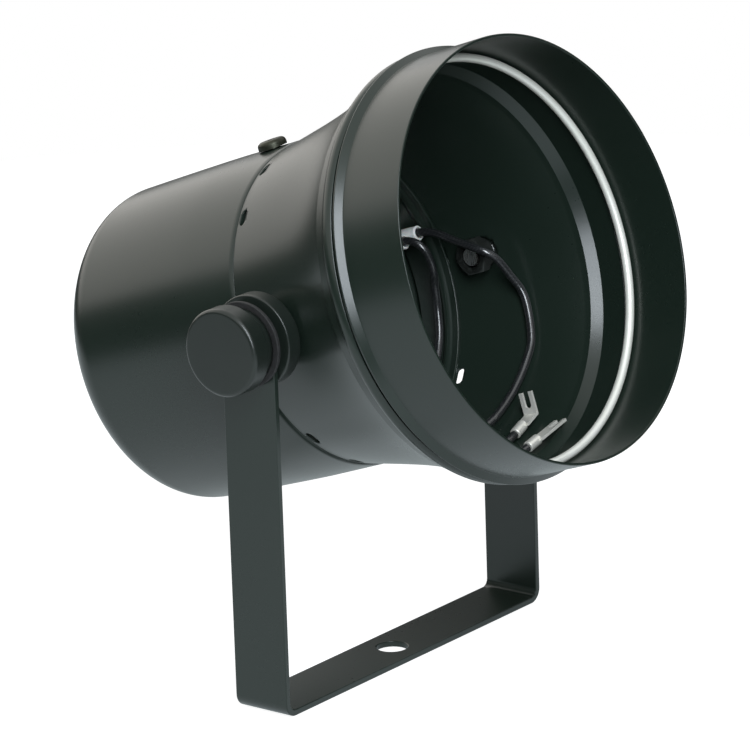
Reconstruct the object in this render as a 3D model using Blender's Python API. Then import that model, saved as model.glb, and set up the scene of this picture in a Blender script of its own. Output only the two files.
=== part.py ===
"""Pinspot light for a sealed-beam lamp of the 36/8 inch size, shown without its lamp.

Frame: metres, +Z up. The origin is the bracket's fixing hole, on the underside of its cross strap.
X is the tilt axis and the light points to -Y, tilted up by TILT. The can's own pieces are drawn in the
can's frame, whose origin is the tilt axis: x along the tilt axis, v up, s forward along the can.
"""
import bmesh
import bpy
from math import asin, atan2, cos, pi, radians, sin, sqrt
from mathutils import Matrix, Vector

# General
SEAT = 0.0003                # gap between pieces that rest on or slide in each other
SHEET = 0.0008               # steel sheet of the can, the bell and the hood
SHELL_SEGMENTS = 40
SMALL_SEGMENTS = 24

# Bracket
PIVOT_HEIGHT = 0.1069        # tilt axis above the underside of the cross strap
TILT = radians(19.8)         # the can points up by this much
STRAP_WIDTH = 0.018
STRAP_THICKNESS = 0.0018
STRAP_BEND = 0.0040          # outer radius of the two bends
FIXING_HOLE_RADIUS = 0.0045
TILT_HOLE_RADIUS = 0.0033

# Rear can
CAN_RADIUS = 0.0470          # outside, at the seam
CAN_LENGTH = 0.0690
CAN_TAPER = 0.0011           # loss of radius towards the back
CAN_STRAIGHT = 0.0200        # straight part behind the seam
CAN_CORNER = 0.0095          # radius of the rounded back corner

# Front bell
SEAM = -0.0120               # station of the seam, behind the tilt axis
SEAM_STEP = 0.0004           # the bell's neck is a little slimmer than the can
SLEEVE_LENGTH = 0.0130       # the bell's neck sleeve, pushed into the can
SWAGE_BACK = 0.0030          # middle of the swage round the sleeve, behind the seam
SWAGE_DEPTH = 0.0008
SWAGE_WIDTH = 0.0030
FLARE_LENGTH = 0.0455
FLARE_STRAIGHT = 0.68        # share of the flare that is a plain cone
FRONT_RADIUS = 0.0592        # outside, at the crease in front of the flare
LAMP_SEAT_LENGTH = 0.0043    # the lamp seat, behind the crease
LAMP_SEAT_STEP = 0.0009
LAMP_SEAT_RUN = 0.0007
RIDGE_LENGTH = 0.0041
RIDGE_RISE = 0.0011
RIDGE_BULGE = 0.0011
SPIGOT_LENGTH = 0.0026       # the bell's front lip, inside the hood

# Vent slots in the bell's neck
VENT_ANGLES = (43, 65, 115, 137)              # degrees from the tilt axis, above and below it
VENT_FRONT = 0.0020          # middle of the slots, in front of the seam
VENT_LENGTH = 0.0052         # round the can
VENT_WIDTH = 0.0024

# Screw on top, which holds the rear can on the bell's sleeve
CAN_SCREW_ANGLE = 93         # degrees round the can
CAN_SCREW_BACK = 0.0078      # behind the seam
CAN_SCREW_RADIUS = 0.0020
CAN_SCREW_HEAD_RADIUS = 0.0042
CAN_SCREW_HEAD_HEIGHT = 0.0023
CAN_SCREW_HEAD_SIDE = 0.0009                  # upright side of the head, under its dome
CAN_SCREW_REACH = 0.0030     # inside the sleeve

# Lamp hood
HOOD_STEP = 0.0006           # the hood, in front of its bead, is this much wider than the bell's crease
HOOD_RIM_STEP = 0.0002       # and its rim is a little wider again
HOOD_LENGTH = 0.0236
HOOD_LIP = 0.0004            # straight edge behind the bead
HOOD_LIP_STEP = 0.0004       # the lip is a little wider than the wall
BEAD_WIDTH = 0.0037
BEAD_HEIGHT = 0.0014

# Lamp retaining ring
RING_WIRE_RADIUS = 0.00125
RING_OFFSET = 0.0007         # station in front of the hood's crease
RING_MIDDLE = 190            # degrees round the can where the ring is split
RING_SPLIT = 14              # degrees between its ends
RING_END_LENGTH = 0.0060     # ends turned in, to pinch the ring by hand
RING_END_BEND = 0.0030

# Tilt pivots, outwards from the can
SPACER_RADIUS = 0.0130
SPACER_LENGTH = 0.0083       # from the bell's wall to the arm
SPACER_COLLAR = 0.0048       # straight part of the spacer
SPACER_FOOT_RADIUS = 0.0090
WASHER_RADIUS = 0.0120
WASHER_THICKNESS = 0.0012
KNOB_NECK_RADIUS = 0.0105
KNOB_NECK_LENGTH = 0.00365
KNOB_RADIUS = 0.0123
KNOB_LENGTH = 0.0063
KNOB_EDGE = 0.0012           # rounding of the knob's edges
STUD_RADIUS = 0.0029
STUD_IN_KNOB = 0.0045
NUT_FLATS = 0.0100           # across flats
NUT_HEIGHT = 0.0040
NUT_COLLAR_RADIUS = 0.0044

# Heat shield and lead bush
SHIELD_FLANGE = 0.0058
SHIELD_CORNER = 0.0012
BUSH_INSET = 0.0075          # from the can's outside to the bush's middle
BUSH_ANGLE = 14.8            # degrees round the can
SLEEVE_PITCH = 0.0044
SLEEVE_RADIUS = 0.0022
SLEEVE_BORE = 0.0016
UPPER_SLEEVE_LENGTH = 0.0110
LOWER_SLEEVE_LENGTH = 0.0086
BUSH_FLANGE_RADIUS = 0.0031
BUSH_NECK_RADIUS = 0.0025
BUSH_FLANGE_THICKNESS = 0.0012

# Lamp leads, and their terminals. Each point is an angle round the can, a depth under the bell's outside
# and a station.
LEAD_RADIUS = 0.0012
WIRE_RADIUS = 0.0011
LEAD_START = 0.0020          # in front of the bush's flange, inside the sleeve
LEAD_STRAIGHT = 0.0010       # straight run in front of the sleeve
UPPER_LEAD_RUN = (
    (12.5, 0.0058, -0.0078), (8.2, 0.0080, -0.0019), (2.0, 0.0102, 0.0061), (-2.7, 0.0086, 0.0088),
    (-10.2, 0.0058, 0.0101), (-18.2, 0.0029, 0.0116), (-32.0, 0.0025, 0.0132), (-40.8, 0.0026, 0.0127),
    (-50.3, 0.0027, 0.0116), (-58.0, 0.0027, 0.0106), (-66.0, 0.0028, 0.0098), (-72.1, 0.0029, 0.0087),
    (-78.7, 0.0030, 0.0085), (-83.4, 0.0031, 0.0103), (-85.7, 0.0031, 0.0144), (-84.1, 0.0030, 0.0186),
    (-80.4, 0.0030, 0.0206), (-75.5, 0.0030, 0.0205))
LOWER_LEAD_RUN = (
    (11.9, 0.0091, -0.0124), (6.8, 0.0089, -0.0112), (-1.2, 0.0078, -0.0119), (-8.1, 0.0058, -0.0142),
    (-16.9, 0.0040, -0.0157), (-28.5, 0.0033, -0.0162), (-47.2, 0.0035, -0.0160), (-66.3, 0.0040, -0.0135),
    (-82.1, 0.0036, -0.0075), (-92.5, 0.0031, 0.0005), (-95.5, 0.0028, 0.0093), (-95.3, 0.0028, 0.0180),
    (-92.6, 0.0032, 0.0246), (-86.6, 0.0032, 0.0281), (-83.0, 0.0036, 0.0286))
TERMINAL_WIDTH = 0.0046
TERMINAL_THICKNESS = 0.0008
TERMINAL_BARREL_RADIUS = 0.0016
TERMINAL_BARREL_LENGTH = 0.0050
TERMINAL_TONGUE = 0.0068     # fork behind the bend, or the straight fork's length
FORK_SLOT = 0.0022
FORK_SLOT_SHARE = 0.75       # of the tongue
UPPER_TERMINAL_END = (-63.4, 0.0025, 0.0203)
UPPER_TERMINAL_BEND = radians(68)
LOWER_TERMINAL_END = (-65.3, 0.0029, 0.0296)

# Transformer
CORE_WIDTH = 0.0480
CORE_DEPTH = 0.0400
CORE_STACK = 0.0160
LIMB_WIDTH = 0.0160
WINDOW_WIDTH = 0.0080
WINDOW_LENGTH = 0.0240
CORE_DROP = 0.0080           # the transformer sits below the can's axis
COIL_HALF_HEIGHT = 0.0148
BOBBIN_WALL = 0.0010
WINDING_RECESS = 0.0006
WINDING_CORNER = 0.0040
FRAME_SHEET = 0.0010
FRAME_WIDTH = 0.0120
FOOT_REACH = 0.0085          # from the core's side to the end of each foot
FOOT_SCREW_OUT = 0.0050      # from the core's side to the foot's screw
FRAME_SCREW_RADIUS = 0.0018
SCREW_HEAD_RADIUS = 0.0035
SCREW_HEAD_HEIGHT = 0.0022
SCREW_NUT_FLATS = 0.0060
SCREW_NUT_HEIGHT = 0.0026

# Terminal block
BLOCK_THICKNESS = 0.0100
BLOCK_HEIGHT = 0.0140
BLOCK_LENGTH = 0.0240
BLOCK_CLEARANCE = 0.0072     # in front of the can's back, for the foot's screw and nut
BLOCK_PITCH = 0.0076
BLOCK_BORE = 0.0016
BLOCK_WELL_RADIUS = 0.0021
BLOCK_WELL_DEPTH = 0.0036
BLOCK_SLOT = 0.0014          # depth of the grooves between the poles
BLOCK_SCREW_RADIUS = 0.0018
BLOCK_SCREW_LENGTH = 0.0026
BLOCK_POLES = (-1, 0, 1)
BLOCK_WIRE_DEPTH = 0.0040    # wires inside the block

# Wiring inside the can
WINDING_EXIT_DEPTH = 0.0032  # exits of the winding's ends, below the top of the coil
WINDING_EXIT_NEAR = 0.0045   # and to each side of the core's middle
WINDING_EXIT_FAR = 0.0100
WINDING_EXIT_RUN = 0.0040    # straight run in front of the coil
LEAD_SPREAD = 0.0035         # height between two leads that run side by side
SECONDARY_ARCH = 0.0095      # middle of the secondary leads, in front of the coil
SECONDARY_LIFT = 0.0017      # and above its top
SECONDARY_SHARE = 0.45       # how far across to the bush it lies
SHIELD_RUN = 0.0070          # straight run behind the heat shield
BUSH_RUN = 0.0040            # second point of that run
PRIMARY_ARCH = 0.0120        # primary leads, above the block's top
PRIMARY_ARCH_FRONT = 0.0030  # and in front of the coil
PRIMARY_SIDESTEP = 0.0060
PRIMARY_TURN_IN = 0.0080     # inside the core's side
PRIMARY_TURN_RISE = 0.0020
BLOCK_DROP = 0.0050          # straight run above the block
BLOCK_APPROACH = 0.0100      # turn above the block, and how far inside the wire holes
BLOCK_APPROACH_IN = 0.0030
EARTH_TAIL = 0.0022          # straight run behind the tag
EARTH_TURN = (0.0048, -0.0014, 0.0004)        # next points of the earth lead, from the tag
EARTH_ARCH = (0.0075, -0.0070, 0.0030)
EARTH_APPROACH = (0.0005, 0.0070)             # outwards and above the block
EARTH_DROP = 0.0030

# Earth screw
EARTH_X = 0.0160
EARTH_V = 0.0220
EARTH_SCREW_RADIUS = 0.0020
EARTH_NUT_FLATS = 0.0070
EARTH_TAG_RADIUS = 0.0040
EARTH_BARREL_OUT = 0.0006    # from the tag's round edge to its barrel
EARTH_BARREL_LENGTH = 0.0040

# Cord gland
GLAND_V = 0.0250
GLAND_THREAD_RADIUS = 0.0057
GLAND_FLATS = 0.0140
GLAND_HEX_HEIGHT = 0.0040
GLAND_STEM = 0.0072          # thread inside the can
GLAND_NOSE = 0.0036          # thread inside the cap
GLAND_BORE = 0.0040
GLAND_CAP_LENGTH = 0.0105
GLAND_CAP_WALL = 0.0018
GLAND_CAP_MOUTH = 0.0042
GLAND_SEAL_DIMPLE = 0.0016
GLAND_NUT_HEIGHT = 0.0042

# Sizes that follow from the ones above
NECK_RADIUS = CAN_RADIUS - SEAM_STEP
SLEEVE_TUBE_RADIUS = CAN_RADIUS - SHEET - SEAT
SLEEVE_END = SEAM - SLEEVE_LENGTH
CREASE = SEAM + FLARE_LENGTH
LAMP_SEAT = CREASE - LAMP_SEAT_LENGTH
RIDGE_END = CREASE + RIDGE_LENGTH
RIDGE_RADIUS = FRONT_RADIUS + RIDGE_RISE
HOOD_BACK = RIDGE_END + SEAT
HOOD_CREASE = HOOD_BACK + HOOD_LIP + BEAD_WIDTH
HOOD_RIM = HOOD_BACK + HOOD_LENGTH
HOOD_RADIUS = FRONT_RADIUS + HOOD_STEP
HOOD_RIM_RADIUS = HOOD_RADIUS + HOOD_RIM_STEP
HOOD_LIP_RADIUS = HOOD_RADIUS + HOOD_LIP_STEP
SPIGOT_RADIUS = HOOD_LIP_RADIUS - SHEET - SEAT
BACK = SEAM - SEAT - CAN_LENGTH
BACK_INNER = BACK + SHEET
SHIELD_FRONT = SLEEVE_END - SEAT
SHIELD_RADIUS = CAN_RADIUS - SHEET - SEAT
BUSH_RADIUS = CAN_RADIUS - BUSH_INSET
FRAME_FOOT = CORE_WIDTH / 2 + FOOT_REACH
FRAME_SCREW_X = CORE_WIDTH / 2 + FOOT_SCREW_OUT
CORE_BACK = BACK_INNER + SEAT
CORE_FRONT = CORE_BACK + CORE_DEPTH
COIL_FRONT = (CORE_BACK + CORE_FRONT + WINDOW_LENGTH) / 2
EARTH_BARREL = EARTH_TAG_RADIUS + EARTH_BARREL_OUT


def flare_radius(station):
    """Outside radius of the bell: a cone at the neck that opens faster towards the front."""
    t = (station - SEAM) / FLARE_LENGTH
    return NECK_RADIUS + (FRONT_RADIUS - NECK_RADIUS) * (FLARE_STRAIGHT * t + (1 - FLARE_STRAIGHT) * t ** 4)


PIVOT_WALL = flare_radius(0.0)
ARM_INNER = PIVOT_WALL + SEAT + SPACER_LENGTH + SEAT
ARM_OUTER = ARM_INNER + STRAP_THICKNESS
WASHER_INNER = ARM_OUTER + SEAT
KNOB_INNER = WASHER_INNER + WASHER_THICKNESS + SEAT
KNOB_SHOULDER = KNOB_INNER + KNOB_NECK_LENGTH
KNOB_OUTER = KNOB_SHOULDER + KNOB_LENGTH
STUD_OUTER = KNOB_INNER + STUD_IN_KNOB
STUD_HOLE = STUD_RADIUS + SEAT
NUT_RADIUS = NUT_FLATS / sqrt(3)
NUT_TOP = sqrt((flare_radius(-NUT_RADIUS) - SHEET) ** 2 - NUT_RADIUS ** 2) - 2 * SEAT
NUT_BOTTOM = NUT_TOP - NUT_HEIGHT
NUT_COLLAR_TOP = sqrt(flare_radius(-NUT_COLLAR_RADIUS) ** 2 - NUT_COLLAR_RADIUS ** 2)
STUD_INNER = NUT_BOTTOM + SEAT / 2


# Helpers

def clear_scene():
    for thing in list(bpy.data.objects):
        bpy.data.objects.remove(thing, do_unlink=True)


def material(name, colour, roughness, metallic=0.0):
    finish = bpy.data.materials.new(name)
    finish.use_nodes = True
    shader = finish.node_tree.nodes["Principled BSDF"]
    shader.inputs["Base Color"].default_value = (*colour, 1.0)
    shader.inputs["Roughness"].default_value = roughness
    shader.inputs["Metallic"].default_value = metallic
    finish.diffuse_color = (*colour, 1.0)
    return finish


def arc(centre, radius, start, end, steps):
    """Points on an arc, from one angle to another, in degrees."""
    angles = [radians(start + (end - start) * i / steps) for i in range(steps + 1)]
    return [(centre[0] + radius * cos(a), centre[1] + radius * sin(a)) for a in angles]


def bulge(start, end, height, steps):
    """Points on the arc from start to end that stands off its chord by height, on the right-hand side."""
    along = Vector(end) - Vector(start)
    half = along.length / 2
    radius = (half * half + height * height) / (2 * height)
    outward = Vector((along.y, -along.x)).normalized()
    centre = (Vector(start) + Vector(end)) / 2 + outward * (height - radius)
    reach = asin(min(1.0, half / radius))
    middle = atan2(outward.y, outward.x)
    angles = [middle - reach + 2 * reach * i / steps for i in range(steps + 1)]
    return [(centre.x + radius * cos(a), centre.y + radius * sin(a)) for a in angles]


def rounded_rectangle(half_width, half_height, radius, steps=3):
    outline = []
    for quarter, (side, end) in enumerate(((1, 1), (-1, 1), (-1, -1), (1, -1))):
        centre = (side * (half_width - radius), end * (half_height - radius))
        outline += arc(centre, radius, 90 * quarter, 90 * quarter + 90, steps)
    return outline


def oval(half_pitch, radius, steps=5):
    """Two half circles joined by straight sides, its long way along local X."""
    return arc((half_pitch, 0), radius, -90, 90, steps) + arc((-half_pitch, 0), radius, 90, 270, steps)


def rectangle(left, right, low, high):
    return [(left, low), (right, low), (right, high), (left, high)]


def pressed(line, thickness):
    """Closed outline of a pressed sheet: its outer line, and the same line moved in by the thickness."""
    points = [Vector(p) for p in line]
    normals = []
    for a, b in zip(points, points[1:]):
        along = (b - a).normalized()
        normals.append(Vector((-along.y, along.x)))
    inner = [points[0] + normals[0] * thickness]
    for point, before, after in zip(points[1:-1], normals, normals[1:]):
        middle = (before + after).normalized()
        inner.append(point + middle * thickness / middle.dot(after))
    inner.append(points[-1] + normals[-1] * thickness)
    return [tuple(p) for p in points] + [tuple(p) for p in reversed(inner)]


def add_turned(mesh, outline, segments, place=None):
    """Turn a closed outline of (radius, height) points once round the local Z axis."""
    place = place or Matrix.Identity(4)
    rings = []
    for radius, height in outline:
        count = segments if radius > 1e-7 else 1
        angles = [2 * pi * i / segments for i in range(count)]
        points = [Vector((radius * cos(a), radius * sin(a), height)) for a in angles]
        rings.append([mesh.verts.new(place @ p) for p in points])
    for one, two in zip(rings, rings[1:] + rings[:1]):
        for i in range(segments):
            corners = [one[i % len(one)], one[(i + 1) % len(one)], two[(i + 1) % len(two)], two[i % len(two)]]
            face = list(dict.fromkeys(corners))
            if len(face) > 2:
                mesh.faces.new(face)


def add_prism(mesh, outline, low, high, place=None):
    """Run a flat outline of (x, y) points from low to high along the local Z axis."""
    place = place or Matrix.Identity(4)
    ends = [[mesh.verts.new(place @ Vector((x, y, z))) for x, y in outline] for z in (low, high)]
    for end in ends:
        mesh.faces.new(end)
    for i in range(len(outline)):
        j = (i + 1) % len(outline)
        mesh.faces.new((ends[0][i], ends[0][j], ends[1][j], ends[1][i]))


def hexagon(across_flats):
    radius = across_flats / sqrt(3)
    return [(radius * cos(radians(60 * i)), radius * sin(radians(60 * i))) for i in range(6)]


def solid(name, mesh, finish, parent=None):
    """Make a named object from a bmesh, with its faces pointing out and its round sides smooth."""
    bmesh.ops.recalc_face_normals(mesh, faces=mesh.faces)
    data = bpy.data.meshes.new(name)
    mesh.to_mesh(data)
    mesh.free()
    data.materials.append(finish)
    return placed(name, data, parent)


def placed(name, data, parent=None):
    """Put an object in the scene under its parent; two objects may share one mesh."""
    if isinstance(data, bpy.types.Mesh):
        data.shade_smooth()
        data.set_sharp_from_angle(angle=radians(30))
    thing = bpy.data.objects.new(name, data)
    bpy.context.scene.collection.objects.link(thing)
    thing.parent = parent
    return thing


def turned(name, outline, finish, parent=None, segments=SHELL_SEGMENTS, place=None):
    mesh = bmesh.new()
    add_turned(mesh, outline, segments, place)
    return solid(name, mesh, finish, parent)


def prism(name, outline, low, high, finish, parent=None, place=None):
    mesh = bmesh.new()
    add_prism(mesh, outline, low, high, place)
    return solid(name, mesh, finish, parent)


def tool(thing):
    """Mark an object as a cutter or a joined piece, which is no piece of the light by itself."""
    thing.hide_render = True
    thing.display_type = "WIRE"
    return thing


def combine(thing, other, operation):
    modifier = thing.modifiers.new(operation.title(), "BOOLEAN")
    modifier.operation = operation
    modifier.solver = "EXACT"
    modifier.object = tool(other)


def smooth_route(route, spacing):
    """Points at even steps along the smooth curve through a route's own points, its ends run straight."""
    points = [Vector(p) for p in route]
    points = [2 * points[0] - points[1]] + points + [2 * points[-1] - points[-2]]
    fine = []
    for a, b, c, d in zip(points, points[1:], points[2:], points[3:]):
        for i in range(16):
            t = i / 16
            fine.append(0.5 * (2 * b + (c - a) * t + (2 * a - 5 * b + 4 * c - d) * t * t
                               + (3 * b - a - 3 * c + d) * t * t * t))
    fine.append(points[-2])
    lengths = [0.0]
    for a, b in zip(fine, fine[1:]):
        lengths.append(lengths[-1] + (b - a).length)
    steps = max(2, round(lengths[-1] / spacing))
    result = []
    j = 0
    for i in range(steps + 1):
        target = lengths[-1] * i / steps
        while j < len(lengths) - 2 and lengths[j + 1] < target:
            j += 1
        share = (target - lengths[j]) / (lengths[j + 1] - lengths[j])
        result.append(fine[j].lerp(fine[j + 1], min(1.0, share)))
    first = fine[0] + (fine[1] - fine[0]).normalized() * spacing / 3
    last = fine[-1] + (fine[-2] - fine[-1]).normalized() * spacing / 3
    return [result[0], first] + result[1:-1] + [last, result[-1]]


def tube(name, run, radius, finish, parent=None):
    """Round wire with filled ends along a run of points."""
    curve = bpy.data.curves.new(name, "CURVE")
    curve.dimensions = "3D"
    curve.bevel_depth = radius
    curve.bevel_resolution = 2
    curve.use_fill_caps = True
    spline = curve.splines.new("POLY")
    spline.points.add(len(run) - 1)
    for point, place in zip(spline.points, run):
        point.co = (*place, 1.0)
    curve.materials.append(finish)
    return placed(name, curve, parent)


def across(x, v, s):
    """Placement whose local Z axis points along +X."""
    return Matrix.Translation((x, v, s)) @ Matrix.Rotation(pi / 2, 4, "Y")


def outwards(angle, station):
    """Placement on the can's axis: local Z points out at this angle, local Y forward."""
    a = radians(angle)
    return Matrix(((-sin(a), 0, cos(a), 0), (cos(a), 0, sin(a), 0), (0, 1, 0, station), (0, 0, 0, 1)))


# Finishes

def make_finishes():
    return {
        "black_paint": material("black_paint", (0.020, 0.022, 0.021), 0.34, 0.0),
        "black_plastic": material("black_plastic", (0.016, 0.016, 0.016), 0.42, 0.0),
        "washer_rubber": material("washer_rubber", (0.012, 0.012, 0.012), 0.70, 0.0),
        "zinc": material("zinc", (0.72, 0.72, 0.68), 0.28, 1.0),
        "spring_wire": material("spring_wire", (0.80, 0.79, 0.74), 0.25, 1.0),
        "lead_sleeve": material("lead_sleeve", (0.010, 0.010, 0.011), 0.22, 0.0),
        "pale_insulator": material("pale_insulator", (0.80, 0.78, 0.72), 0.45, 0.0),
        "lamination": material("lamination", (0.16, 0.16, 0.17), 0.45, 0.9),
        "winding_tape": material("winding_tape", (0.55, 0.42, 0.10), 0.40, 0.0),
        "galvanised": material("galvanised", (0.55, 0.56, 0.57), 0.40, 1.0),
        "supply_wire": material("supply_wire", (0.10, 0.12, 0.35), 0.35, 0.0),
        "earth_wire": material("earth_wire", (0.20, 0.42, 0.08), 0.35, 0.0),
    }


# Bracket

def make_bracket(finish):
    """Flat strap bent to a U, its arms rounded round the tilt holes."""
    half = ARM_OUTER
    line = [(half, PIVOT_HEIGHT + STRAP_WIDTH)]
    line += arc((half - STRAP_BEND, STRAP_BEND), STRAP_BEND, 0, -90, 5)
    line += arc((STRAP_BEND - half, STRAP_BEND), STRAP_BEND, -90, -180, 5)
    line += [(-half, PIVOT_HEIGHT + STRAP_WIDTH)]
    strap = [(x, -z) for x, z in pressed([(x, -z) for x, z in line], STRAP_THICKNESS)]
    front = Matrix.Rotation(pi / 2, 4, "X")
    bracket = prism("yoke_bracket", strap, -STRAP_WIDTH, STRAP_WIDTH, finish, place=front)
    side = [(-STRAP_WIDTH / 2, -STRAP_WIDTH), (STRAP_WIDTH / 2, -STRAP_WIDTH)]
    side += arc((0, PIVOT_HEIGHT), STRAP_WIDTH / 2, 0, 180, 12)
    lengthwise = Matrix(((0, 0, 1, 0), (1, 0, 0, 0), (0, 1, 0, 0), (0, 0, 0, 1)))
    reach = half + STRAP_WIDTH
    combine(bracket, prism("strap_side", side, -reach, reach, finish, place=lengthwise), "INTERSECT")
    holes = bmesh.new()
    add_turned(holes, [(0, -reach), (TILT_HOLE_RADIUS, -reach), (TILT_HOLE_RADIUS, reach), (0, reach)],
               SMALL_SEGMENTS, across(0, 0, PIVOT_HEIGHT))
    add_turned(holes, [(0, -STRAP_WIDTH), (FIXING_HOLE_RADIUS, -STRAP_WIDTH),
                       (FIXING_HOLE_RADIUS, STRAP_WIDTH), (0, STRAP_WIDTH)], SMALL_SEGMENTS)
    combine(bracket, solid("strap_holes", holes, finish), "DIFFERENCE")
    return bracket


# Can

def can_line():
    """Outer line of the rear can, from the middle of its back to its front edge."""
    corner = CAN_RADIUS - CAN_TAPER - CAN_CORNER
    line = [(0, BACK)]
    line += arc((corner, BACK + CAN_CORNER), CAN_CORNER, -90, 0, 5)
    line += [(CAN_RADIUS, SEAM - CAN_STRAIGHT), (CAN_RADIUS, SEAM - SEAT)]
    return line


def back_hole(mesh, x, v, radius):
    """A round hole through the back wall, and through a foot that stands on it."""
    low = BACK - SHEET
    high = BACK_INNER + 2 * FRAME_SHEET
    place = Matrix.Translation((x, v, 0))
    add_turned(mesh, [(0, low), (radius, low), (radius, high), (0, high)], 16, place)


def can_screw_hole(mesh):
    """A round hole for the screw on top, through the rear can and the bell's sleeve."""
    radius = CAN_SCREW_RADIUS + SEAT
    low = SLEEVE_TUBE_RADIUS - 2 * SHEET
    high = CAN_RADIUS + SHEET
    add_turned(mesh, [(0, low), (radius, low), (radius, high), (0, high)], 12,
               outwards(CAN_SCREW_ANGLE, SEAM - CAN_SCREW_BACK))


def make_rear_can(finish, can):
    shell = turned("rear_can", pressed(can_line(), SHEET), finish, can)
    holes = bmesh.new()
    back_hole(holes, 0, GLAND_V, GLAND_THREAD_RADIUS + SEAT)
    back_hole(holes, EARTH_X, EARTH_V, EARTH_SCREW_RADIUS + SEAT)
    for side in (-1, 1):
        back_hole(holes, side * FRAME_SCREW_X, -CORE_DROP, FRAME_SCREW_RADIUS + SEAT)
    can_screw_hole(holes)
    combine(shell, solid("can_holes", holes, finish, can), "DIFFERENCE")
    return shell


def make_can_screw(finish, can):
    """Pan-head screw on top of the rear can, its end inside the bell's sleeve."""
    end = SLEEVE_TUBE_RADIUS - SHEET - CAN_SCREW_REACH
    head = CAN_RADIUS + SEAT
    side = head + CAN_SCREW_HEAD_SIDE
    top = head + CAN_SCREW_HEAD_HEIGHT
    outline = [(0, end), (CAN_SCREW_RADIUS, end), (CAN_SCREW_RADIUS, head), (CAN_SCREW_HEAD_RADIUS, head),
               (CAN_SCREW_HEAD_RADIUS, side)]
    edge = top - side
    outline += arc((CAN_SCREW_HEAD_RADIUS - edge, side), edge, 0, 90, 3)[1:]
    outline += [(0, top)]
    return turned("can_screw", outline, finish, can, 16, outwards(CAN_SCREW_ANGLE, SEAM - CAN_SCREW_BACK))


def bell_line():
    """Outer line of the bell: sleeve with its swage, flare, lamp seat, ridge and the lip in the hood."""
    swage = SEAM - SWAGE_BACK
    line = [(SLEEVE_TUBE_RADIUS, SLEEVE_END), (SLEEVE_TUBE_RADIUS, swage - SWAGE_WIDTH / 2),
            (SLEEVE_TUBE_RADIUS - SWAGE_DEPTH, swage), (SLEEVE_TUBE_RADIUS, swage + SWAGE_WIDTH / 2),
            (SLEEVE_TUBE_RADIUS, SEAM)]
    steps = 6
    for i in range(steps + 1):
        station = SEAM + (LAMP_SEAT - SEAM) * i / steps
        line.append((flare_radius(station), station))
    line.append((flare_radius(LAMP_SEAT) + LAMP_SEAT_STEP, LAMP_SEAT + LAMP_SEAT_RUN))
    line += bulge((FRONT_RADIUS, CREASE), (RIDGE_RADIUS, RIDGE_END), RIDGE_BULGE, 4)
    line += [(SPIGOT_RADIUS, RIDGE_END), (SPIGOT_RADIUS, RIDGE_END + SPIGOT_LENGTH)]
    return line


def make_bell(finish, can):
    bell = turned("front_bell", pressed(bell_line(), SHEET), finish, can)
    cuts = bmesh.new()
    slot = oval((VENT_LENGTH - VENT_WIDTH) / 2, VENT_WIDTH / 2, 4)
    for angle in VENT_ANGLES:
        for side in (-1, 1):
            add_prism(cuts, slot, NECK_RADIUS - 3 * SHEET, NECK_RADIUS + 3 * SHEET,
                      outwards(side * angle, SEAM + VENT_FRONT))
    can_screw_hole(cuts)
    pivot = NUT_COLLAR_RADIUS + SEAT
    add_turned(cuts, [(0, -FRONT_RADIUS), (pivot, -FRONT_RADIUS), (pivot, FRONT_RADIUS), (0, FRONT_RADIUS)],
               SMALL_SEGMENTS, across(0, 0, 0))
    combine(bell, solid("bell_cuts", cuts, finish, can), "DIFFERENCE")
    return bell


def make_hood(finish, can):
    """Short hood: a straight lip over the bell's spigot, a pressed bead, then a wall that widens slightly."""
    line = [(HOOD_LIP_RADIUS, HOOD_BACK)]
    line += bulge((HOOD_LIP_RADIUS, HOOD_BACK + HOOD_LIP), (HOOD_RADIUS, HOOD_CREASE), BEAD_HEIGHT, 5)
    line += [(HOOD_RIM_RADIUS, HOOD_RIM)]
    return turned("lamp_hood", pressed(line, SHEET), finish, can)


def make_ring(finish, can):
    """Split ring of round spring wire, its two ends turned in towards the can's axis."""
    radius = HOOD_RADIUS - SHEET - SEAT - RING_WIRE_RADIUS
    station = HOOD_CREASE + RING_OFFSET
    bend = RING_END_BEND
    start = RING_MIDDLE + RING_SPLIT / 2
    turn = 360 - RING_SPLIT
    bend_angle = 90 * bend / radius / (pi / 2)
    ring = arc((0, 0), radius, start + bend_angle, start + turn - bend_angle, 48)
    ends = []
    for angle, side in ((start, 1), (start + turn, -1)):
        centre_angle = radians(angle) + side * bend / (radius - bend)
        centre = ((radius - bend) * cos(centre_angle), (radius - bend) * sin(centre_angle))
        corner = []
        for step in range(1, 5):
            a = centre_angle - side * (pi / 2) * step / 4
            corner.append((centre[0] + bend * cos(a), centre[1] + bend * sin(a)))
        inward = Vector((-cos(centre_angle), -sin(centre_angle)))
        tip = Vector(corner[-1]) + inward * RING_END_LENGTH
        ends.append(corner + [tuple(tip)])
    run = list(reversed(ends[0])) + ring + ends[1]
    return tube("lamp_retaining_ring", [(x, v, station) for x, v in run], RING_WIRE_RADIUS, finish, can)


# Tilt pivots. Each piece is drawn along local Z, outwards from the can's middle.

def knob_outline():
    edge = KNOB_EDGE
    outline = [(STUD_HOLE, KNOB_INNER), (KNOB_NECK_RADIUS, KNOB_INNER), (KNOB_NECK_RADIUS, KNOB_SHOULDER)]
    outline += arc((KNOB_RADIUS - edge / 2, KNOB_SHOULDER + edge / 2), edge / 2, -90, 0, 1)
    outline += arc((KNOB_RADIUS - edge, KNOB_OUTER - edge), edge, 0, 90, 3)
    outline += [(0, KNOB_OUTER), (0, STUD_OUTER + SEAT), (STUD_HOLE, STUD_OUTER + SEAT)]
    return outline


def washer_outline():
    top = WASHER_INNER + WASHER_THICKNESS
    return [(STUD_HOLE, WASHER_INNER), (WASHER_RADIUS, WASHER_INNER), (WASHER_RADIUS, top), (STUD_HOLE, top)]


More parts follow.
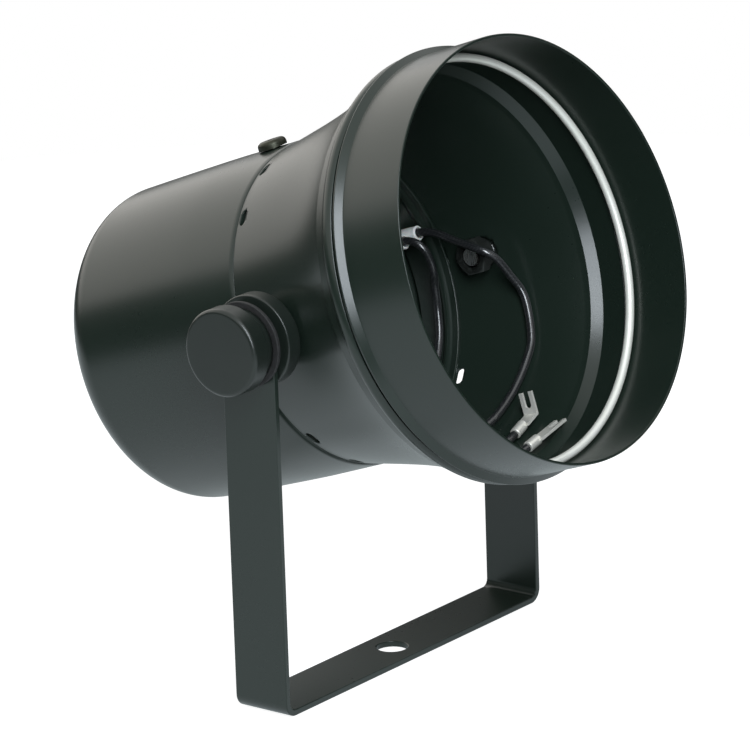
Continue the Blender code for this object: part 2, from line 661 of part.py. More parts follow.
def stud_outline():
    return [(0, STUD_INNER), (STUD_RADIUS, STUD_INNER), (STUD_RADIUS, STUD_OUTER), (0, STUD_OUTER)]


def spacer_outline():
    """Collar against the arm, then a cone whose foot is cut to the bell's round wall."""
    top = ARM_INNER - SEAT
    foot = PIVOT_WALL - SPACER_RADIUS
    return [(STUD_HOLE, foot), (SPACER_FOOT_RADIUS, foot), (SPACER_FOOT_RADIUS, PIVOT_WALL - SEAT),
            (SPACER_RADIUS, top - SPACER_COLLAR), (SPACER_RADIUS, top), (STUD_HOLE, top)]


def make_bell_core(finish, can):
    """The bell's outside as a plain body, one seat gap larger, which cuts the spacers' feet."""
    steps = 4
    line = [(0, -SPACER_RADIUS * 1.2)]
    for i in range(steps + 1):
        station = SPACER_RADIUS * 1.2 * (2 * i / steps - 1)
        line.append((flare_radius(station) + SEAT, station))
    line.append((0, SPACER_RADIUS * 1.2))
    return turned("spacer_saddle", line, finish, can)


def make_pivots(finishes, can):
    saddle = make_bell_core(finishes["black_paint"], can)
    parts = {
        "knob": (knob_outline(), "black_plastic", 28),
        "knob_washer": (washer_outline(), "washer_rubber", SMALL_SEGMENTS),
        "tilt_spacer": (spacer_outline(), "black_plastic", 28),
        "knob_stud": (stud_outline(), "zinc", 12),
    }
    for side, word in ((-1, "left"), (1, "right")):
        for name, (outline, finish, segments) in parts.items():
            piece = turned(f"{name}_{word}", outline, finishes[finish], can, segments)
            piece.rotation_euler = (0, side * pi / 2, 0)
            if name == "tilt_spacer":
                combine(piece, saddle, "DIFFERENCE")
        nut = prism(f"pivot_nut_{word}", hexagon(NUT_FLATS), NUT_BOTTOM, NUT_TOP, finishes["zinc"], can)
        nut.rotation_euler = (0, side * pi / 2, 0)
        collar = turned(f"nut_collar_{word}", [(0, NUT_BOTTOM + SHEET), (NUT_COLLAR_RADIUS, NUT_BOTTOM + SHEET),
                                               (NUT_COLLAR_RADIUS, NUT_COLLAR_TOP), (0, NUT_COLLAR_TOP)],
                        finishes["zinc"], can, 16)
        bore = turned(f"nut_bore_{word}", [(0, 0), (STUD_HOLE, 0), (STUD_HOLE, ARM_OUTER), (0, ARM_OUTER)],
                      finishes["zinc"], can, 12)
        for cutter in (collar, bore):
            cutter.rotation_euler = (0, side * pi / 2, 0)
        combine(nut, collar, "UNION")
        combine(nut, bore, "DIFFERENCE")


# Heat shield, lead bush and lamp leads

def bush_centre(offset):
    """A point of the bush, moved out from its middle by offset, in the can's frame."""
    a = radians(BUSH_ANGLE)
    return (BUSH_RADIUS + offset) * cos(a), (BUSH_RADIUS + offset) * sin(a)


def bush_profile(radius):
    """Oval round both sleeves, drawn with local X outwards."""
    return oval(SLEEVE_PITCH / 2, radius)


def bush_place():
    return Matrix.Rotation(radians(BUSH_ANGLE), 4, "Z") @ Matrix.Translation((BUSH_RADIUS, 0, 0))


def make_heat_shield(finish, can):
    corner = SHIELD_CORNER
    line = [(SHIELD_RADIUS, SHIELD_FRONT - SHIELD_FLANGE)]
    line += arc((SHIELD_RADIUS - corner, SHIELD_FRONT - corner), corner, 0, 90, 2)
    line += [(0, SHIELD_FRONT)]
    shield = turned("heat_shield", pressed(line, SHEET), finish, can)
    hole = prism("bush_hole", bush_profile(BUSH_NECK_RADIUS + SEAT), SHIELD_FRONT - 4 * SHEET,
                 SHIELD_FRONT + 4 * SHEET, finish, can, bush_place())
    combine(shield, hole, "DIFFERENCE")
    return shield


def make_lead_bush(finish, can):
    """Oval bush clipped into the heat shield, with one long and one short sleeve in front."""
    front = SHIELD_FRONT + SEAT
    back = SHIELD_FRONT - SHEET - SEAT
    flange = BUSH_FLANGE_THICKNESS
    rim = bush_profile(BUSH_FLANGE_RADIUS)
    bush = prism("lead_bush", rim, front, front + flange, finish, can, bush_place())
    neck = prism("bush_neck", bush_profile(BUSH_NECK_RADIUS), back - flange / 2, front + flange / 2,
                 finish, can, bush_place())
    lip = prism("bush_lip", rim, back - flange, back, finish, can, bush_place())
    combine(bush, neck, "UNION")
    combine(bush, lip, "UNION")
    sleeves = bmesh.new()
    bores = bmesh.new()
    for side, length in ((1, UPPER_SLEEVE_LENGTH), (-1, LOWER_SLEEVE_LENGTH)):
        place = Matrix.Translation((*bush_centre(side * SLEEVE_PITCH / 2), 0))
        add_turned(sleeves, [(0, front + flange / 2), (SLEEVE_RADIUS, front + flange / 2),
                             (SLEEVE_RADIUS, front + length), (0, front + length)], 12, place)
        add_turned(bores, [(0, back - 3 * flange), (SLEEVE_BORE, back - 3 * flange),
                           (SLEEVE_BORE, front + 2 * length), (0, front + 2 * length)], 10, place)
    combine(bush, solid("bush_sleeves", sleeves, finish, can), "UNION")
    combine(bush, solid("bush_bores", bores, finish, can), "DIFFERENCE")
    return bush


def frame_between(start, end):
    """Placement at start: local X runs to end, local Z leans towards the can's axis."""
    along = (Vector(end) - Vector(start)).normalized()
    inward = Vector((-start[0], -start[1], 0.0))
    up = (inward - along * inward.dot(along)).normalized()
    side = up.cross(along)
    basis = Matrix((along, side, up)).transposed()
    return Matrix.Translation(start) @ basis.to_4x4()


def make_fork_terminal(name, start, end, bend, finish, can):
    """Crimped barrel and a flat fork, whose last part may be bent up by an angle."""
    place = frame_between(start, end)
    length = (Vector(end) - Vector(start)).length
    half = TERMINAL_THICKNESS / 2
    line = [(TERMINAL_BARREL_LENGTH - SHEET, -half), (length, -half)]
    if bend:
        line.append((length + TERMINAL_TONGUE * cos(bend), -half + TERMINAL_TONGUE * sin(bend)))
    upright = Matrix(((1, 0, 0, 0), (0, 0, -1, 0), (0, 1, 0, 0), (0, 0, 0, 1)))
    blade = prism(name, pressed(line, TERMINAL_THICKNESS), -TERMINAL_WIDTH / 2, TERMINAL_WIDTH / 2,
                  finish, can, place @ upright)
    barrel = turned(name + "_barrel", [(0, 0), (TERMINAL_BARREL_RADIUS, 0),
                                       (TERMINAL_BARREL_RADIUS, TERMINAL_BARREL_LENGTH),
                                       (0, TERMINAL_BARREL_LENGTH)],
                    finish, can, 10, place @ Matrix.Rotation(pi / 2, 4, "Y"))
    combine(blade, barrel, "UNION")
    root = length if bend else length - TERMINAL_TONGUE
    turn = Matrix.Translation((root, 0, 0)) @ Matrix.Rotation(-bend, 4, "Y")
    slot = prism(name + "_slot", rectangle(TERMINAL_TONGUE * (1 - FORK_SLOT_SHARE), 2 * TERMINAL_TONGUE,
                                           -FORK_SLOT / 2, FORK_SLOT / 2),
                 -4 * TERMINAL_THICKNESS, 4 * TERMINAL_THICKNESS, finish, can, place @ turn)
    combine(blade, slot, "DIFFERENCE")
    return blade


def under_the_bell(point):
    """A point given by its angle, its depth under the bell's outside and its station."""
    angle, depth, station = point
    radius = flare_radius(station) - depth
    return radius * cos(radians(angle)), radius * sin(radians(angle)), station


def lead_route(side, sleeve_length, run):
    """Route of a lamp lead: straight through its sleeve, then along the points of its run."""
    x, v = bush_centre(side * SLEEVE_PITCH / 2)
    face = SHIELD_FRONT + SEAT
    start = face + LEAD_START
    end = face + sleeve_length + LEAD_STRAIGHT
    return [(x, v, start), (x, v, (start + end) / 2), (x, v, end)] + [under_the_bell(p) for p in run]


def make_lamp_leads(finishes, can):
    upper = lead_route(1, UPPER_SLEEVE_LENGTH, UPPER_LEAD_RUN)
    lower = lead_route(-1, LOWER_SLEEVE_LENGTH, LOWER_LEAD_RUN)
    leads = (("upper", upper, UPPER_TERMINAL_END, UPPER_TERMINAL_BEND), ("lower", lower, LOWER_TERMINAL_END, 0.0))
    for word, route, terminal_end, bend in leads:
        run = smooth_route(route, 6 * LEAD_RADIUS)
        tube(f"lamp_lead_{word}", run, LEAD_RADIUS, finishes["lead_sleeve"], can)
        end = under_the_bell(terminal_end)
        along = (Vector(end) - Vector(route[-1])).normalized()
        start = Vector(route[-1]) + along * SEAT
        make_fork_terminal(f"lead_terminal_{word}", tuple(start), end, bend, finishes["zinc"], can)


# Transformer

def make_transformer(finishes, can):
    middle = (CORE_BACK + CORE_FRONT) / 2
    flat = Matrix(((1, 0, 0, 0), (0, 0, 1, -CORE_DROP), (0, 1, 0, 0), (0, 0, 0, 1)))
    core = prism("transformer_core", rectangle(-CORE_WIDTH / 2, CORE_WIDTH / 2, CORE_BACK, CORE_FRONT),
                 -CORE_STACK / 2, CORE_STACK / 2, finishes["lamination"], can, flat)
    windows = bmesh.new()
    for side in (-1, 1):
        centre = side * (LIMB_WIDTH + WINDOW_WIDTH) / 2
        add_prism(windows, rectangle(centre - WINDOW_WIDTH / 2, centre + WINDOW_WIDTH / 2,
                                     middle - WINDOW_LENGTH / 2, middle + WINDOW_LENGTH / 2),
                  -CORE_STACK, CORE_STACK, flat)
    combine(core, solid("core_windows", windows, finishes["lamination"], can), "DIFFERENCE")

    sunk = Matrix.Translation((0, -CORE_DROP, middle))
    coil_x = LIMB_WIDTH / 2 + WINDOW_WIDTH - SEAT
    coil_s = WINDOW_LENGTH / 2 - SEAT
    tube_x = LIMB_WIDTH / 2 + SEAT + BOBBIN_WALL
    tube_v = CORE_STACK / 2 + SEAT + BOBBIN_WALL
    bobbin = prism("transformer_bobbin", rectangle(-tube_x, tube_x, -tube_v, tube_v), -coil_s, coil_s,
                   finishes["pale_insulator"], can, sunk)
    flanges = bmesh.new()
    for low, high in ((-coil_s, BOBBIN_WALL - coil_s), (coil_s - BOBBIN_WALL, coil_s)):
        add_prism(flanges, rounded_rectangle(coil_x, COIL_HALF_HEIGHT, WINDING_CORNER / 4, 2), low, high, sunk)
    combine(bobbin, solid("bobbin_flanges", flanges, finishes["pale_insulator"], can), "UNION")
    hole_x = LIMB_WIDTH / 2 + SEAT
    hole_v = CORE_STACK / 2 + SEAT
    combine(bobbin, prism("bobbin_bore", rectangle(-hole_x, hole_x, -hole_v, hole_v), -CORE_DEPTH, CORE_DEPTH,
                          finishes["pale_insulator"], can, sunk), "DIFFERENCE")

    wound = coil_s - BOBBIN_WALL - SEAT
    tape = finishes["winding_tape"]
    outline = rounded_rectangle(coil_x - WINDING_RECESS, COIL_HALF_HEIGHT - WINDING_RECESS, WINDING_CORNER)
    windings = prism("transformer_windings", outline, -wound, wound, tape, can, sunk)
    inside = rectangle(-tube_x - SEAT, tube_x + SEAT, -tube_v - SEAT, tube_v + SEAT)
    combine(windings, prism("winding_bore", inside, -CORE_DEPTH, CORE_DEPTH, tape, can, sunk), "DIFFERENCE")
    make_transformer_frame(finishes, can)


def make_transformer_frame(finishes, can):
    """Strap over the front of the core, with two feet screwed to the can's back."""
    leg = CORE_WIDTH / 2 + SEAT + FRAME_SHEET
    web = CORE_FRONT + SEAT + FRAME_SHEET
    foot = CORE_BACK + FRAME_SHEET
    line = [(-FRAME_FOOT, foot), (-leg, foot), (-leg, web), (leg, web), (leg, foot), (FRAME_FOOT, foot)]
    flat = Matrix(((-1, 0, 0, 0), (0, 0, 1, -CORE_DROP), (0, 1, 0, 0), (0, 0, 0, 1)))
    frame = prism("transformer_frame", pressed([(-x, s) for x, s in line], FRAME_SHEET),
                  -FRAME_WIDTH / 2, FRAME_WIDTH / 2, finishes["galvanised"], can, flat)
    holes = bmesh.new()
    for side in (-1, 1):
        back_hole(holes, side * FRAME_SCREW_X, -CORE_DROP, FRAME_SCREW_RADIUS + SEAT)
    combine(frame, solid("foot_holes", holes, finishes["galvanised"], can), "DIFFERENCE")
    for side, word in ((-1, "left"), (1, "right")):
        place = Matrix.Translation((side * FRAME_SCREW_X, -CORE_DROP, 0))
        nut_seat = foot + SEAT
        make_screw(f"transformer_screw_{word}", place, FRAME_SCREW_RADIUS, nut_seat, finishes["zinc"], can)
        make_nut(f"transformer_nut_{word}", place, FRAME_SCREW_RADIUS, SCREW_NUT_FLATS, nut_seat,
                 SCREW_NUT_HEIGHT, finishes["zinc"], can)


def make_screw(name, place, radius, nut_seat, finish, can):
    """Pan-head screw through the can's back, put in from outside."""
    head = BACK - SEAT
    dome = SCREW_HEAD_HEIGHT / 3
    end = nut_seat + SCREW_NUT_HEIGHT + SCREW_HEAD_HEIGHT / 2
    reach = SCREW_HEAD_RADIUS * radius / FRAME_SCREW_RADIUS
    turned(name, [(0, head - SCREW_HEAD_HEIGHT), (reach - dome, head - SCREW_HEAD_HEIGHT),
                  (reach, head - SCREW_HEAD_HEIGHT + dome), (reach, head), (radius, head), (radius, end),
                  (0, end)], finish, can, 12, place)


def make_nut(name, place, thread_radius, flats, low, height, finish, can):
    """Hexagon nut whose round bore has two points for each corner of the hexagon."""
    mesh = bmesh.new()
    outline = hexagon(flats)
    count = len(outline)
    hole = thread_radius + SEAT
    ring = [(hole * cos(pi * i / count), hole * sin(pi * i / count)) for i in range(2 * count)]
    levels = []
    for z in (low, low + height):
        outer = [mesh.verts.new(place @ Vector((x, y, z))) for x, y in outline]
        inner = [mesh.verts.new(place @ Vector((x, y, z))) for x, y in ring]
        levels.append((outer, inner))
    for outer, inner in levels:
        for i in range(count):
            j = (i + 1) % count
            a, b, c = inner[2 * i], inner[2 * i + 1], inner[(2 * i + 2) % (2 * count)]
            mesh.faces.new((outer[i], outer[j], c, b, a))
    for k, size in ((0, count), (1, 2 * count)):
        low_ring, high_ring = levels[0][k], levels[1][k]
        for i in range(size):
            j = (i + 1) % size
            mesh.faces.new((low_ring[i], low_ring[j], high_ring[j], high_ring[i]))
    return solid(name, mesh, finish, can)


# Wiring inside the can

def block_centre():
    """Middle of the terminal block's face towards the transformer's frame."""
    x = CORE_WIDTH / 2 + 2 * SEAT + FRAME_SHEET
    return x, -CORE_DROP, BACK_INNER + BLOCK_CLEARANCE + BLOCK_LENGTH / 2


def make_terminal_block(finishes, can):
    """Three-pole block with a wire hole through each pole and a screw well over it."""
    x, v, s = block_centre()
    place = Matrix.Translation((x, v, s)) @ Matrix.Rotation(pi / 2, 4, "Y")
    block = prism("terminal_block", rounded_rectangle(BLOCK_LENGTH / 2, BLOCK_HEIGHT / 2, SHEET, 2),
                  0, BLOCK_THICKNESS, finishes["pale_insulator"], can, place)
    cuts = bmesh.new()
    along_v = Matrix.Rotation(-pi / 2, 4, "X")
    deep = BLOCK_THICKNESS - BLOCK_WELL_DEPTH
    for pole in BLOCK_POLES:
        station = s + pole * BLOCK_PITCH
        wire = Matrix.Translation((x + BLOCK_THICKNESS / 3, v, station)) @ along_v
        add_turned(cuts, [(0, -BLOCK_HEIGHT), (BLOCK_BORE, -BLOCK_HEIGHT), (BLOCK_BORE, BLOCK_HEIGHT),
                          (0, BLOCK_HEIGHT)], 10, wire)
        well = Matrix.Translation((x, v, station)) @ Matrix.Rotation(pi / 2, 4, "Y")
        add_turned(cuts, [(0, deep), (BLOCK_WELL_RADIUS, deep), (BLOCK_WELL_RADIUS, 2 * BLOCK_THICKNESS),
                          (0, 2 * BLOCK_THICKNESS)], 12, well)
        low = deep + SEAT
        high = low + BLOCK_SCREW_LENGTH
        turned(f"terminal_screw_{pole + 2}", [(0, low), (BLOCK_SCREW_RADIUS, low), (BLOCK_SCREW_RADIUS, high),
                                              (0, high)], finishes["zinc"], can, 10, well)
    for side in (-0.5, 0.5):
        station = side * BLOCK_PITCH
        add_prism(cuts, rectangle(station - SHEET / 2, station + SHEET / 2, -BLOCK_HEIGHT, BLOCK_HEIGHT),
                  BLOCK_THICKNESS - BLOCK_SLOT, 2 * BLOCK_THICKNESS, place)
    combine(block, solid("block_cuts", cuts, finishes["pale_insulator"], can), "DIFFERENCE")


def block_wire_hole(pole):
    """Top end of the wire hole through one pole of the terminal block."""
    x, v, s = block_centre()
    return x + BLOCK_THICKNESS / 3, v + BLOCK_HEIGHT / 2, s + pole * BLOCK_PITCH


def make_secondary_leads(finish, can):
    """Two leads from the coil to the bush, where they meet the lamp leads."""
    coil_top = COIL_HALF_HEIGHT - CORE_DROP
    exit_v = coil_top - WINDING_EXIT_DEPTH
    meet = SHIELD_FRONT + LEAD_START
    tail = SHIELD_FRONT - SHIELD_RUN
    for side, x, word in ((1, WINDING_EXIT_FAR, "upper"), (-1, WINDING_EXIT_NEAR, "lower")):
        ex, ev = bush_centre(side * SLEEVE_PITCH / 2)
        route = [(x, exit_v, COIL_FRONT), (x, exit_v, COIL_FRONT + WINDING_EXIT_RUN),
                 (x + SECONDARY_SHARE * (ex - x), coil_top + SECONDARY_LIFT + side * LEAD_SPREAD,
                  COIL_FRONT + SECONDARY_ARCH),
                 (ex, ev, tail), (ex, ev, SHIELD_FRONT - BUSH_RUN), (ex, ev, meet)]
        tube(f"secondary_lead_{word}", smooth_route(route, 6 * WIRE_RADIUS), WIRE_RADIUS, finish, can)


def make_primary_leads(finish, can):
    """Two leads from the coil, over the core and down into the terminal block."""
    exit_v = COIL_HALF_HEIGHT - CORE_DROP - WINDING_EXIT_DEPTH
    middle = block_wire_hole(0)[2]
    for pole, x, word in ((1, -WINDING_EXIT_NEAR, "live"), (0, -WINDING_EXIT_FAR, "neutral")):
        bx, top, station = block_wire_hole(pole)
        arch = top + PRIMARY_ARCH + LEAD_SPREAD * (1 - pole)
        route = [(x, exit_v, COIL_FRONT), (x, exit_v, COIL_FRONT + WINDING_EXIT_RUN),
                 (x + PRIMARY_SIDESTEP, arch, COIL_FRONT + PRIMARY_ARCH_FRONT),
                 (CORE_WIDTH / 2 - PRIMARY_TURN_IN, arch + PRIMARY_TURN_RISE, middle),
                 (bx - BLOCK_APPROACH_IN, top + BLOCK_APPROACH, station), (bx, top + BLOCK_DROP, station),
                 (bx, top - BLOCK_WIRE_DEPTH, station)]
        tube(f"primary_lead_{word}", smooth_route(route, 6 * WIRE_RADIUS), WIRE_RADIUS, finish, can)


def make_earth_lead(finish, can):
    """Lead from the tag on the can's back to the rearmost pole of the terminal block."""
    tag = Vector((EARTH_X + EARTH_BARREL + EARTH_BARREL_LENGTH, EARTH_V, CORE_BACK + TERMINAL_BARREL_RADIUS))
    bx, top, pole = block_wire_hole(-1)
    route = [tag + Vector((SEAT, 0, 0)), tag + Vector((EARTH_TAIL, 0, 0)), tag + Vector(EARTH_TURN),
             tag + Vector(EARTH_ARCH), (bx + EARTH_APPROACH[0], top + EARTH_APPROACH[1], pole),
             (bx, top + EARTH_DROP, pole), (bx, top - BLOCK_WIRE_DEPTH, pole)]
    tube("earth_lead", smooth_route(route, 6 * WIRE_RADIUS), WIRE_RADIUS, finish, can)


def make_earth_point(finishes, can):
    """Screw and nut through the back, holding the ring tag of the earth lead."""
    place = Matrix.Translation((EARTH_X, EARTH_V, 0))
    low = CORE_BACK
    high = low + TERMINAL_THICKNESS
    make_screw("earth_screw", place, EARTH_SCREW_RADIUS, high + SEAT, finishes["zinc"], can)
    make_nut("earth_nut", place, EARTH_SCREW_RADIUS, EARTH_NUT_FLATS, high + SEAT, SCREW_NUT_HEIGHT,
             finishes["zinc"], can)
    hole = EARTH_SCREW_RADIUS + SEAT
    tag = turned("earth_tag", [(hole, low), (EARTH_TAG_RADIUS, low), (EARTH_TAG_RADIUS, high), (hole, high)],
                 finishes["zinc"], can, 16, place)
    half = TERMINAL_BARREL_RADIUS
    strip = prism("earth_tag_strip", rectangle(EARTH_SCREW_RADIUS + 3 * SEAT, EARTH_BARREL + SHEET, -half, half),
                  low, high, finishes["zinc"], can, place)
    barrel = turned("earth_tag_barrel", [(0, 0), (half, 0), (half, EARTH_BARREL_LENGTH), (0, EARTH_BARREL_LENGTH)],
                    finishes["zinc"], can, 10, across(EARTH_X + EARTH_BARREL, EARTH_V, low + half))
    combine(tag, strip, "UNION")
    combine(tag, barrel, "UNION")


# Cord gland

def make_gland(finishes, can):
    """Screwed gland in the can's back, closed by its seal because no cord is fitted."""
    place = Matrix.Translation((0, GLAND_V, 0))
    seat = BACK - SEAT
    hex_end = seat - GLAND_HEX_HEIGHT
    nose = hex_end - GLAND_NOSE
    stem = BACK_INNER + GLAND_STEM
    black = finishes["black_plastic"]
    body = prism("gland_body", hexagon(GLAND_FLATS), hex_end, seat, black, can, place)
    thread = turned("gland_thread", [(0, nose), (GLAND_THREAD_RADIUS, nose), (GLAND_THREAD_RADIUS, stem),
                                     (0, stem)], black, can, 20, place)
    bore = turned("gland_bore", [(0, nose - GLAND_NOSE), (GLAND_BORE, nose - GLAND_NOSE),
                                 (GLAND_BORE, stem + GLAND_STEM), (0, stem + GLAND_STEM)], black, can, 16, place)
    combine(body, thread, "UNION")
    combine(body, bore, "DIFFERENCE")

    top = hex_end - SEAT
    end = top - GLAND_CAP_LENGTH
    inner = GLAND_THREAD_RADIUS + SEAT
    outer = inner + GLAND_CAP_WALL
    floor = end + GLAND_CAP_WALL
    outline = [(inner, top), (inner, floor), (GLAND_CAP_MOUTH, floor), (GLAND_CAP_MOUTH, end)]
    outline += arc((outer - 2 * SEAT - GLAND_CAP_WALL, end + GLAND_CAP_WALL), GLAND_CAP_WALL + 2 * SEAT, -90, 0, 4)
    outline += [(outer, top)]
    turned("gland_cap", outline, black, can, 20, place)

    seal_top = nose - SEAT
    seal_low = floor + SEAT
    seal = [(0, seal_low), (GLAND_CAP_MOUTH + SHEET, seal_low), (inner - SEAT, seal_low + SHEET),
            (inner - SEAT, seal_top), (GLAND_SEAL_DIMPLE, seal_top), (0, seal_top - GLAND_SEAL_DIMPLE)]
    turned("gland_seal", seal, finishes["washer_rubber"], can, 16, place)

    make_nut("gland_locknut", place, GLAND_THREAD_RADIUS, GLAND_FLATS + 4 * SHEET, BACK_INNER + SEAT,
             GLAND_NUT_HEIGHT, black, can)


def build():
    clear_scene()
    finishes = make_finishes()
    can = bpy.data.objects.new("can_frame", None)
    bpy.context.scene.collection.objects.link(can)
    can.location = (0, 0, PIVOT_HEIGHT)
    can.rotation_euler = (pi / 2 - TILT, 0, 0)
    paint = finishes["black_paint"]
    make_bracket(paint)
    make_rear_can(paint, can)
    make_can_screw(paint, can)
    make_bell(paint, can)
    make_hood(paint, can)
    make_ring(finishes["spring_wire"], can)
    make_pivots(finishes, can)
    make_heat_shield(paint, can)
    make_lead_bush(finishes["pale_insulator"], can)
    make_lamp_leads(finishes, can)
    make_transformer(finishes, can)
    make_terminal_block(finishes, can)
    make_secondary_leads(finishes["lead_sleeve"], can)
    make_primary_leads(finishes["supply_wire"], can)
    make_earth_point(finishes, can)
    make_earth_lead(finishes["earth_wire"], can)
    make_gland(finishes, can)


build()
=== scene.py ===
"""Pinspot light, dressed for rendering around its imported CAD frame.

Metres, +Z up. The can's own pieces are drawn in the can's frame, whose origin is the tilt axis:
x along the tilt axis, v up, s forward along the can.
"""
from math import asin, atan2, ceil, cos, degrees, exp, pi, radians, sin, sqrt, tan

import bmesh
import bpy
from mathutils import Matrix, Vector


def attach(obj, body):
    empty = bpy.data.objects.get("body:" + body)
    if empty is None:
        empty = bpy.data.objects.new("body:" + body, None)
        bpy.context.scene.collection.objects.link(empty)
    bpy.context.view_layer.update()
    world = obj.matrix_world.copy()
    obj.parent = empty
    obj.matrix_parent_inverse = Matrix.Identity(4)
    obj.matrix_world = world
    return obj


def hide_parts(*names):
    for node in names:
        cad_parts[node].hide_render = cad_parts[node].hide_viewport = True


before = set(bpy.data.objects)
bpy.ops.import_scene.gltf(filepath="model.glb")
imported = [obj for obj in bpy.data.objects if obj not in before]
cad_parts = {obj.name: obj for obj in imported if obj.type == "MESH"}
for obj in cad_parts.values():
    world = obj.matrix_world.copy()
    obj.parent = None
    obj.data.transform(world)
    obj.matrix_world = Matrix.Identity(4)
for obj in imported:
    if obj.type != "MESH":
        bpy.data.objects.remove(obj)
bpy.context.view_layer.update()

# Sizes, as in the part's source
SEAT = 0.0003
SHEET = 0.0008
PIVOT_HEIGHT = 0.1069
TILT = radians(19.8)
STRAP_WIDTH = 0.018
STRAP_THICKNESS = 0.0018
STRAP_BEND = 0.0040
FIXING_HOLE_RADIUS = 0.0045
TILT_HOLE_RADIUS = 0.0033
CAN_RADIUS = 0.0470
CAN_LENGTH = 0.0690
CAN_TAPER = 0.0011
CAN_STRAIGHT = 0.0200
CAN_CORNER = 0.0095
CAN_CURL = 0.00036
CAN_CURL_LENGTH = 0.0016
SEAM = -0.0120
NECK_RADIUS = 0.0466
SLEEVE_TUBE_RADIUS = CAN_RADIUS - SHEET - SEAT
SLEEVE_END = SEAM - 0.0130
SWAGE_BACK = 0.0030
SWAGE_DEPTH = 0.0008
SWAGE_WIDTH = 0.0030
FLARE_LENGTH = 0.0455
FLARE_STRAIGHT = 0.68
FRONT_RADIUS = 0.0592
CREASE = SEAM + FLARE_LENGTH
LAMP_SEAT = CREASE - 0.0043
LAMP_SEAT_STEP = 0.0009
LAMP_SEAT_RUN = 0.0007
SEAT_CONE_BACK = LAMP_SEAT + 0.0002
SEAT_CONE_FRONT = LAMP_SEAT + 0.0030
SEAT_CONE_DEPTH = 0.00102
SEAT_CONE_RISE = 0.00230
RIDGE_END = CREASE + 0.0041
RIDGE_RADIUS = FRONT_RADIUS + 0.0011
RIDGE_BULGE = 0.0011
SPIGOT_LENGTH = 0.0026
VENT_ANGLES = (43, 65, 115, 137)
VENT_FRONT = 0.0020
VENT_LENGTH = 0.0052
VENT_WIDTH = 0.0024
CAN_SCREW_ANGLE = 93
CAN_SCREW_BACK = 0.0078
CAN_SCREW_RADIUS = 0.0020
CAN_SCREW_HEAD_RADIUS = 0.0042
CAN_SCREW_HEAD_HEIGHT = 0.0023
CAN_SCREW_HEAD_SIDE = 0.0009
CAN_SCREW_REACH = 0.0030
HOOD_RADIUS = 0.0598
HOOD_RIM_RADIUS = 0.0600
HOOD_BACK = RIDGE_END + SEAT
HOOD_RIM = HOOD_BACK + 0.0236
HOOD_LIP = 0.0004
HOOD_LIP_RADIUS = HOOD_RADIUS + 0.0004
BEAD_WIDTH = 0.0037
BEAD_RADIUS = 0.0615
BEAD_TOP_START = 0.0010
BEAD_TOP_END = 0.0013
BEAD_FLANK_END = 0.0031
HOOD_CREASE = HOOD_BACK + HOOD_LIP + BEAD_WIDTH
SPIGOT_RADIUS = HOOD_LIP_RADIUS - SHEET - SEAT
RING_WIRE_RADIUS = 0.00125
RING_STATION = HOOD_CREASE + 0.0007
RING_RADIUS = HOOD_RADIUS - SHEET - SEAT - RING_WIRE_RADIUS
RING_MIDDLE = 190
RING_SPLIT = 14
RING_END_LENGTH = 0.0060
RING_END_BEND = 0.0030
SPACER_RADIUS = 0.0130
SPACER_LENGTH = 0.0083
SPACER_COLLAR = 0.0048
SPACER_FOOT_RADIUS = 0.0090
WASHER_RADIUS = 0.0120
WASHER_THICKNESS = 0.0012
KNOB_NECK_RADIUS = 0.0105
KNOB_NECK_LENGTH = 0.00365
KNOB_RADIUS = 0.0123
KNOB_LENGTH = 0.0063
KNOB_EDGE = 0.0012
STUD_RADIUS = 0.0029
STUD_IN_KNOB = 0.0045
THREAD_PITCH = 0.0010
NUT_FLATS = 0.0100
NUT_HEIGHT = 0.0040
NUT_COLLAR_RADIUS = 0.0044
BACK = SEAM - SEAT - CAN_LENGTH
BACK_INNER = BACK + SHEET
SHIELD_FRONT = SLEEVE_END - SEAT
SHIELD_RADIUS = CAN_RADIUS - SHEET - SEAT
SHIELD_FLANGE = 0.0058
SHIELD_CORNER = 0.0012
BUSH_RADIUS = 0.0395
BUSH_ANGLE = 14.8
SLEEVE_PITCH = 0.0044
SLEEVE_RADIUS = 0.0022
SLEEVE_BORE = 0.0016
UPPER_SLEEVE_LENGTH = 0.0110
LOWER_SLEEVE_LENGTH = 0.0086
BUSH_FLANGE_RADIUS = 0.0031
BUSH_NECK_RADIUS = 0.0025
BUSH_FLANGE_THICKNESS = 0.0012
LEAD_RADIUS = 0.0012
LEAD_START = 0.0020
LEAD_STRAIGHT = 0.0010
